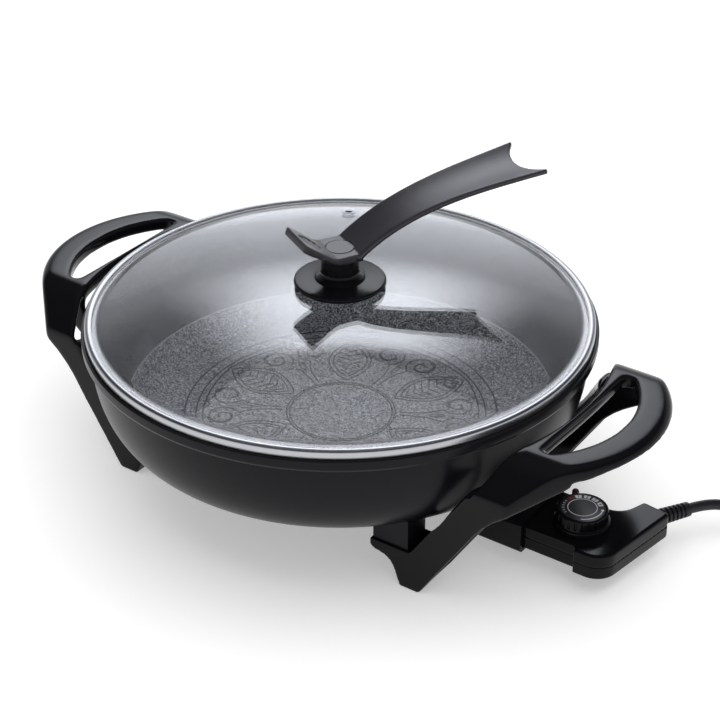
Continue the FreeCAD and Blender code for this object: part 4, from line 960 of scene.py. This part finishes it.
floorPattern = {
    # plain circles: radius and number of steps
    "circles": ((0.1070, 180), (0.0992, 180), (0.0372, 90), (0.0352, 90)),
    "sectors": 6,
    "petalFrom": 0.0405,
    "petalTo": 0.0945,
    "petalHalf": 0.0150,
    "petalBelly": 0.85,
    "petalSteps": 32,
    "innerPetal": 0.80,
    "innerInset": 0.45,
    "chevrons": 7,
    "chevronSpan": (0.17, 0.83),
    "chevronWide": 0.62,
    "chevronDrop": 0.0046,
    "scrollAt": (0.0800, 0.0135),
    "scrollSize": 0.0118,
    "scrollTurns": 1.55,
    "scrollFrom": -150.0,
    "scrollEnd": 0.16,
    "scrollSteps": 60,
    "echoGap": 0.16,
    "echoSteps": (18, 40),
    "stem": ((0.0405, 0.0016), (0.0520, 0.0022), (0.0610, 0.0038), (0.0662, 0.0062)),
    "crown": ((0.0905, 0.0), (0.0935, 0.0045), (0.0945, 0.0100)),
    "tearAt": 0.0660,
    "tearHalf": (0.0052, 0.0018),
    "tearSteps": 20,
    "bowRadius": 0.0968,
    "bowDip": 0.0024,
    "bowSteps": 24,
    "lineWidth": 0.00125,
    "lineHeight": 0.00040,
    "lineSink": 0.00006,
    # a line's cross-section as shares of its width and height
    "lineSection": ((-0.5, 0.0), (-0.28, 0.75), (0.0, 1.0), (0.28, 0.75), (0.5, 0.0)),
}


def onRing(radius, angle):
    return (radius * math.cos(angle), radius * math.sin(angle))


def ringLine(radius, spokes):
    return [onRing(radius, 2 * math.pi * n / spokes) for n in range(spokes + 1)]


def turned(points, degrees):
    c, s = math.cos(math.radians(degrees)), math.sin(math.radians(degrees))
    return [(x * c - y * s, x * s + y * c) for x, y in points]


def flipped(points):
    return [(x, -y) for x, y in points]


def eased(corners, steps=10):
    # a smooth line through a few corners
    line = []
    for n in range(len(corners) - 1):
        before = corners[max(n - 1, 0)]
        first, second = corners[n], corners[n + 1]
        after = corners[min(n + 2, len(corners) - 1)]
        for k in range(steps):
            t = k / steps
            weights = (-t ** 3 + 2 * t ** 2 - t, 3 * t ** 3 - 5 * t ** 2 + 2, -3 * t ** 3 + 4 * t ** 2 + t,
                       t ** 3 - t ** 2)
            line.append(tuple(sum(w * p[axis] for w, p in zip(weights, (before, first, second, after))) / 2
                              for axis in (0, 1)))
    return line + [corners[-1]]


def petalLines(pattern):
    start, end, half = pattern["petalFrom"], pattern["petalTo"], pattern["petalHalf"]
    belly, drop = pattern["petalBelly"], pattern["chevronDrop"]
    steps = pattern["petalSteps"]
    lines = []
    for size in (1.0, pattern["innerPetal"]):
        inset = (1 - size) * pattern["innerInset"]
        side = []
        for n in range(steps + 1):
            t = n / steps
            along = start + (end - start) * (inset + t * (1 - 2 * inset))
            side.append((along, half * size * math.sin(math.pi * t) ** belly))
        lines += [side, flipped(side)]
    first, last = pattern["chevronSpan"]
    for n in range(pattern["chevrons"]):
        t = first + (last - first) * n / (pattern["chevrons"] - 1)
        along = start + (end - start) * t
        wide = half * pattern["chevronWide"] * math.sin(math.pi * t) ** belly
        lines.append([(along + drop, wide), (along, 0.0), (along + drop, -wide)])
    return lines


def scrollLines(pattern):
    # a pair of volutes on one stem, between two petals
    across, aside = pattern["scrollAt"]
    size, turns = pattern["scrollSize"], pattern["scrollTurns"]
    steps = pattern["scrollSteps"]
    volute = []
    for n in range(steps + 1):
        t = n / steps
        radius = size * (1 - (1 - pattern["scrollEnd"]) * t)
        x, y = onRing(radius, math.radians(pattern["scrollFrom"]) + 2 * math.pi * turns * t)
        volute.append((across + x, aside + y))
    gap = pattern["echoGap"]
    first, last = pattern["echoSteps"]
    echo = [(x + (x - across) * gap, y + (y - aside) * gap) for x, y in volute[first:last]]
    half = [eased([*pattern["stem"], volute[0]]), volute, echo, eased(pattern["crown"])]
    long, wide = pattern["tearHalf"]
    tear = [(pattern["tearAt"] + long * x, wide * y) for x, y in ringLine(1.0, pattern["tearSteps"])]
    return half + [flipped(line) for line in half] + [tear]


def bowLine(pattern):
    # a shallow bow from petal tip to petal tip inside the double ring
    reach = math.radians(360 / pattern["sectors"])
    steps = pattern["bowSteps"]
    bow = []
    for n in range(steps + 1):
        t = n / steps
        radius = pattern["bowRadius"] - pattern["bowDip"] * (1 - (2 * t - 1) ** 2)
        bow.append(onRing(radius, reach * t))
    return bow


def ridgeStrip(shape, line, pattern):
    # a low rounded ridge that follows the floor along a line of (x, y) points
    width, height, section = pattern["lineWidth"], pattern["lineHeight"], pattern["lineSection"]
    rows = []
    for n, (x, y) in enumerate(line):
        x0, y0 = line[max(n - 1, 0)]
        x1, y1 = line[min(n + 1, len(line) - 1)]
        length = math.hypot(x1 - x0, y1 - y0) or 1.0
        nx, ny = -(y1 - y0) / length, (x1 - x0) / length
        row = []
        for aside, up in section:
            px, py = x + nx * aside * width, y + ny * aside * width
            base = floorHeight(math.hypot(px, py)) - pattern["lineSink"]
            row.append(shape.verts.new((px, py, base + up * height)))
        rows.append(row)
    for first, second in zip(rows, rows[1:]):
        for k in range(len(section) - 1):
            shape.faces.new((first[k], first[k + 1], second[k + 1], second[k]))


patternLineLook = {
    "colour": (0.006, 0.006, 0.008, 1.0),
    "worn": (0.030, 0.0305, 0.034, 1.0),
    "roughness": 0.36,
    "specular": 0.10,
    "grain": 1300.0,
    "grainDepth": 0.00004,
    "wear": 0.9,
    "patch": 300.0,
}
patternLine = mouldedFinish("patternLine", patternLineLook)


def makeFloorPattern(pattern):
    shape = bmesh.new()
    lines = [ringLine(radius, spokes) for radius, spokes in pattern["circles"]]
    step = 360 / pattern["sectors"]
    for n in range(pattern["sectors"]):
        lines += [turned(line, n * step) for line in petalLines(pattern)]
        lines += [turned(line, n * step + step / 2) for line in scrollLines(pattern)]
        lines.append(turned(bowLine(pattern), n * step))
    for line in lines:
        ridgeStrip(shape, line, pattern)
    mesh = meshFrom(shape, "floorPattern")
    addPiece("floorPattern", mesh, patternLine, "base")
    print("floor pattern has", len(mesh.polygons), "faces in", len(lines), "lines")


makeFloorPattern(floorPattern)


# print on the dial

dialPrint = {
    "centre": (0.1907, 0.0),
    "height": 0.0416,
    "thick": 0.00007,
    "sink": 0.00005,
    "stepTurn": 3.0,
    "innerRing": (0.0092, 0.0097),
    "cells": (132.0, 105.0, 78.0, 51.0),
    "cellHalfTurn": 9.6,
    "cellRadii": (0.0107, 0.0137),
    "redCell": 157.0,
    "arc": (-65.0, 20.0),
    "arcRadii": (0.01265, 0.01345),
    "dotRadii": (0.0001, 0.00095),
    "dotLift": 0.00001,
    "ticks": (178.0, 190.0, 202.0, 214.0, 226.0, 238.0),
    "tickHalfTurn": 1.1,
    "tickRadii": (0.0116, 0.0132),
    "figureSize": 0.0031,
    "figureHalfThick": 0.00004,
    "figureWeight": 0.00006,
    "figureLift": 0.00012,
    "white": (0.62, 0.63, 0.66, 1.0),
    "red": (0.13, 0.010, 0.012, 1.0),
    "paler": 1.15,
}


def inkFinish(name, colour, paler):
    worn = tuple(part * paler for part in colour[:3]) + (1.0,)
    return mouldedFinish(name, {"colour": colour, "worn": worn, "roughness": 0.42, "grain": 2600.0,
                                "grainDepth": 0.00002, "wear": 0.3})


whiteInk = inkFinish("whiteInk", dialPrint["white"], dialPrint["paler"])
redInk = inkFinish("redInk", dialPrint["red"], dialPrint["paler"])


def ringSector(shape, settings, fromTurn, toTurn, radii, lift=0.0):
    # a flat printed patch between two turns and two radii, a hair proud of the disc
    steps = max(int(abs(toTurn - fromTurn) / settings["stepTurn"]), 2)
    cx, cy = settings["centre"]
    top = settings["height"] + settings["thick"] + lift
    rows = []
    for n in range(steps + 1):
        angle = math.radians(fromTurn + (toTurn - fromTurn) * n / steps)
        rows.append([(cx + r * math.cos(angle), cy + r * math.sin(angle)) for r in radii])
    upper = [[shape.verts.new((x, y, top)) for x, y in row] for row in rows]
    bottom = settings["height"] - settings["sink"]
    lower = [[shape.verts.new((x, y, bottom)) for x, y in row] for row in rows]
    for n in range(steps):
        shape.faces.new((upper[n][0], upper[n][1], upper[n + 1][1], upper[n + 1][0]))
        shape.faces.new((lower[n][1], upper[n][1], upper[n + 1][1], lower[n + 1][1]))
        shape.faces.new((upper[n][0], lower[n][0], lower[n + 1][0], upper[n + 1][0]))
    for n in (0, steps):
        shape.faces.new((lower[n][0], upper[n][0], upper[n][1], lower[n][1]))


def onDial(settings, radii, turn):
    # the middle between two radii at a turn
    x, y = onRing(sum(radii) / 2, math.radians(turn))
    return settings["centre"][0] + x, settings["centre"][1] + y


def drawWhite(shape, settings):
    half, tickHalf = settings["cellHalfTurn"], settings["tickHalfTurn"]
    ringSector(shape, settings, 0, 360, settings["innerRing"])
    for turn in settings["cells"]:
        ringSector(shape, settings, turn - half, turn + half, settings["cellRadii"])
    ringSector(shape, settings, *settings["arc"], settings["arcRadii"])
    dot = {**settings, "centre": onDial(settings, settings["arcRadii"], settings["arc"][1])}
    ringSector(shape, dot, 0, 360, settings["dotRadii"], settings["dotLift"])
    for turn in settings["ticks"]:
        ringSector(shape, settings, turn - tickHalf, turn + tickHalf, settings["tickRadii"])


def drawRed(shape, settings):
    turn, half = settings["redCell"], settings["cellHalfTurn"]
    ringSector(shape, settings, turn - half, turn + half, settings["cellRadii"])


def printedPiece(name, draw, settings, ink):
    shape = bmesh.new()
    draw(shape, settings)
    bmesh.ops.recalc_face_normals(shape, faces=shape.faces)
    addPiece(name, meshFrom(shape, name), ink, "dial", smooth=False)


def makeFigure(number, turn, settings):
    # a dark figure inside its white cell, its foot towards the dial's centre
    text = bpy.data.curves.new("figure", "FONT")
    text.body = str(number)
    text.size = settings["figureSize"]
    text.align_x = "CENTER"
    text.align_y = "CENTER"
    text.extrude = settings["figureHalfThick"]
    text.offset = settings["figureWeight"]
    mesh = settledMesh(addObject("figureDraft", text))
    x, y = onDial(settings, settings["cellRadii"], turn)
    place = Matrix.Translation((x, y, settings["height"] + settings["figureLift"]))
    mesh.transform(place @ Matrix.Rotation(math.radians(turn) - math.pi / 2, 4, "Z"))
    mesh.materials.clear()
    addPiece(f"dialFigure{number}", mesh, printedDisc, "dial", smooth=False)


printedPiece("dialWhitePrint", drawWhite, dialPrint, whiteInk)
printedPiece("dialRedPrint", drawRed, dialPrint, redInk)
for number, turn in enumerate(dialPrint["cells"], 1):
    makeFigure(number, turn, dialPrint)
print("dial printed")


# studio

studioLook = {
    "floorReach": 6.0,
    "floorDrop": 0.0002,
    "floorColour": (0.80, 0.80, 0.80, 1.0),
    "floorLift": 0.36,
    "fade": (0.45, 1.5),
    "roomFill": 0.55,
    "overheadPower": 30.0,
    "overheadSize": 2.6,
    "overheadAt": (0.0, 0.1, 2.0),
    # brightness of the walls round the room, by compass angle from +X towards +Y
    "walls": ((0, 0.9), (60, 0.6), (90, 0.70), (100, 0.62), (106, 0.66), (116, 0.97), (131, 1.0),
              (138, 0.80), (144, 0.62), (152, 0.58), (165, 0.55), (200, 0.5), (230, 0.9), (270, 1.0),
              (360, 0.9)),
    # brightness by height: the sine of the angle above the floor
    "heights": ((0.0, 1.4), (0.12, 1.0), (0.30, 0.95), (0.38, 0.62), (0.54, 0.04), (0.74, 0.05),
                (1.0, 0.20)),
    "ceiling": 1.0,
    "ceilingFrom": (0.62, 0.80),
    "wallTint": (0.95, 0.98, 1.05, 1.0),
    "panelTurn": 124.5,
    "panelHalf": (5.0, 20.0),
    "panelFoot": (0.30, 0.57),
    "panelEdge": (0.675, 0.725),
    "panelGlow": 4.6,
}


def makeFloor(look):
    mesh = bpy.data.meshes.new("studioFloor")
    reach = look["floorReach"]
    mesh.from_pydata([(-reach, -reach, 0), (reach, -reach, 0), (reach, reach, 0), (-reach, reach, 0)],
                     [], [(0, 1, 2, 3)])
    floor = addObject("studioFloor", mesh)
    floor.location.z = -look["floorDrop"]
    finish = bpy.data.materials.new("studioPaper")
    tree = emptyTree(finish)
    output = addNode(tree, "ShaderNodeOutputMaterial")
    matt = addNode(tree, "ShaderNodeBsdfDiffuse")
    feed(matt, {0: look["floorColour"]})
    glow = addNode(tree, "ShaderNodeEmission")
    rays = addNode(tree, "ShaderNodeLightPath")
    seen = mathStep(tree, "MAXIMUM", rays.outputs["Is Camera Ray"], rays.outputs["Is Glossy Ray"])
    seen = mathStep(tree, "MAXIMUM", seen, rays.outputs["Is Transmission Ray"])
    feed(glow, {"Strength": mathStep(tree, "MULTIPLY", seen, look["floorLift"])})
    both = addNode(tree, "ShaderNodeAddShader")
    feed(both, {0: matt.outputs[0], 1: glow.outputs[0]})
    # far from the wok the paper runs into the white of the room
    place = placeGroup(tree, ringPlace)
    far = easedStep(tree, place.outputs["Radius"], *look["fade"])
    white = addNode(tree, "ShaderNodeEmission")
    fade = addNode(tree, "ShaderNodeMixShader")
    share = mathStep(tree, "MULTIPLY", far, seen)
    feed(fade, {0: share, 1: both.outputs[0], 2: white.outputs[0]})
    feed(output, {0: fade.outputs[0]})
    mesh.materials.append(finish)


def greyRamp(tree, value, stops):
    ramp = addNode(tree, "ShaderNodeValToRGB")
    ramp.color_ramp.interpolation = "EASE"
    marks = ramp.color_ramp.elements
    while len(marks) > 1:
        marks.remove(marks[0])
    for n, (place, level) in enumerate(stops):
        mark = marks[0] if n == 0 else marks.new(place)
        mark.position = place
        mark.color = (level, level, level, 1.0)
    feed(ramp, {0: value})
    return ramp.outputs[0]


def turnedPart(tree, x, y, turn):
    # how far the direction (x, y) points along a turn
    partX = mathStep(tree, "MULTIPLY", x, math.cos(turn))
    partY = mathStep(tree, "MULTIPLY", y, math.sin(turn))
    return mathStep(tree, "ADD", partX, partY)


def makeRoom(look):
    # white to the camera; polished and clear things see walls and one tall light panel behind
    world = bpy.data.worlds.new("studioRoom")
    bpy.context.scene.world = world
    tree = emptyTree(world)
    output = addNode(tree, "ShaderNodeOutputWorld")
    sky = addNode(tree, "ShaderNodeBackground")
    x, y, z = parted(tree, addNode(tree, "ShaderNodeTexCoord").outputs["Generated"])
    angle = mathStep(tree, "DIVIDE", mathStep(tree, "ARCTAN2", y, x), 2 * math.pi)
    angle = mathStep(tree, "FRACT", mathStep(tree, "ADD", angle, 1.0))
    walls = greyRamp(tree, angle, [(turn / 360.0, level) for turn, level in look["walls"]])
    heights = greyRamp(tree, z, look["heights"])
    # towards the zenith the walls' differences give way to one even ceiling
    above = easedStep(tree, z, *look["ceilingFrom"])
    walls = blendColours(tree, above, walls, (look["ceiling"],) * 3 + (1.0,))
    room = mathStep(tree, "MULTIPLY", walls, heights)
    turn = math.radians(look["panelTurn"])
    ahead = turnedPart(tree, x, y, turn)
    aside = turnedPart(tree, x, y, turn + math.pi / 2)
    slant = mathStep(tree, "ABSOLUTE", mathStep(tree, "DIVIDE", aside, ahead))
    near, far = [math.tan(math.radians(a)) for a in look["panelHalf"]]
    across = easedStep(tree, slant, near, far, 1.0, 0.0)
    front = mathStep(tree, "GREATER_THAN", ahead, 0.0)
    rising = easedStep(tree, z, *look["panelFoot"])
    edge = easedStep(tree, z, *look["panelEdge"], 1.0, 0.0)
    panel = mathStep(tree, "MULTIPLY", mathStep(tree, "MULTIPLY", across, front),
                     mathStep(tree, "MULTIPLY", rising, edge))
    panel = mathStep(tree, "MULTIPLY", panel, look["panelGlow"])
    studio = mathStep(tree, "ADD", room, panel)
    rays = addNode(tree, "ShaderNodeLightPath")
    camera, through = rays.outputs["Is Camera Ray"], rays.outputs["Is Transmission Ray"]
    polished = rays.outputs["Is Glossy Ray"]
    direct = mathStep(tree, "MAXIMUM", camera, through)
    matt = mathStep(tree, "SUBTRACT", 1.0, mathStep(tree, "MAXIMUM", direct, polished))
    plain = mathStep(tree, "ADD", direct, mathStep(tree, "MULTIPLY", matt, look["roomFill"]))
    strength = mathStep(tree, "ADD", mathStep(tree, "MULTIPLY", studio, polished), plain)
    tint = blendColours(tree, polished, (1.0, 1.0, 1.0, 1.0), look["wallTint"])
    feed(sky, {"Color": tint, "Strength": strength})
    feed(output, {0: sky.outputs[0]})


def addSoftbox(look):
    lamp = bpy.data.lights.new("overheadSoftbox", "AREA")
    lamp.shape = "SQUARE"
    lamp.size = look["overheadSize"]
    lamp.energy = look["overheadPower"]
    softbox = addObject("overheadSoftbox", lamp)
    softbox.location = look["overheadAt"]
    softbox.rotation_mode = "QUATERNION"
    softbox.rotation_quaternion = aimed(look["overheadAt"], (0, 0, 0))
    softbox.visible_camera = False
    softbox.visible_glossy = False


makeFloor(studioLook)
makeRoom(studioLook)
addSoftbox(studioLook)
print("studio lit")
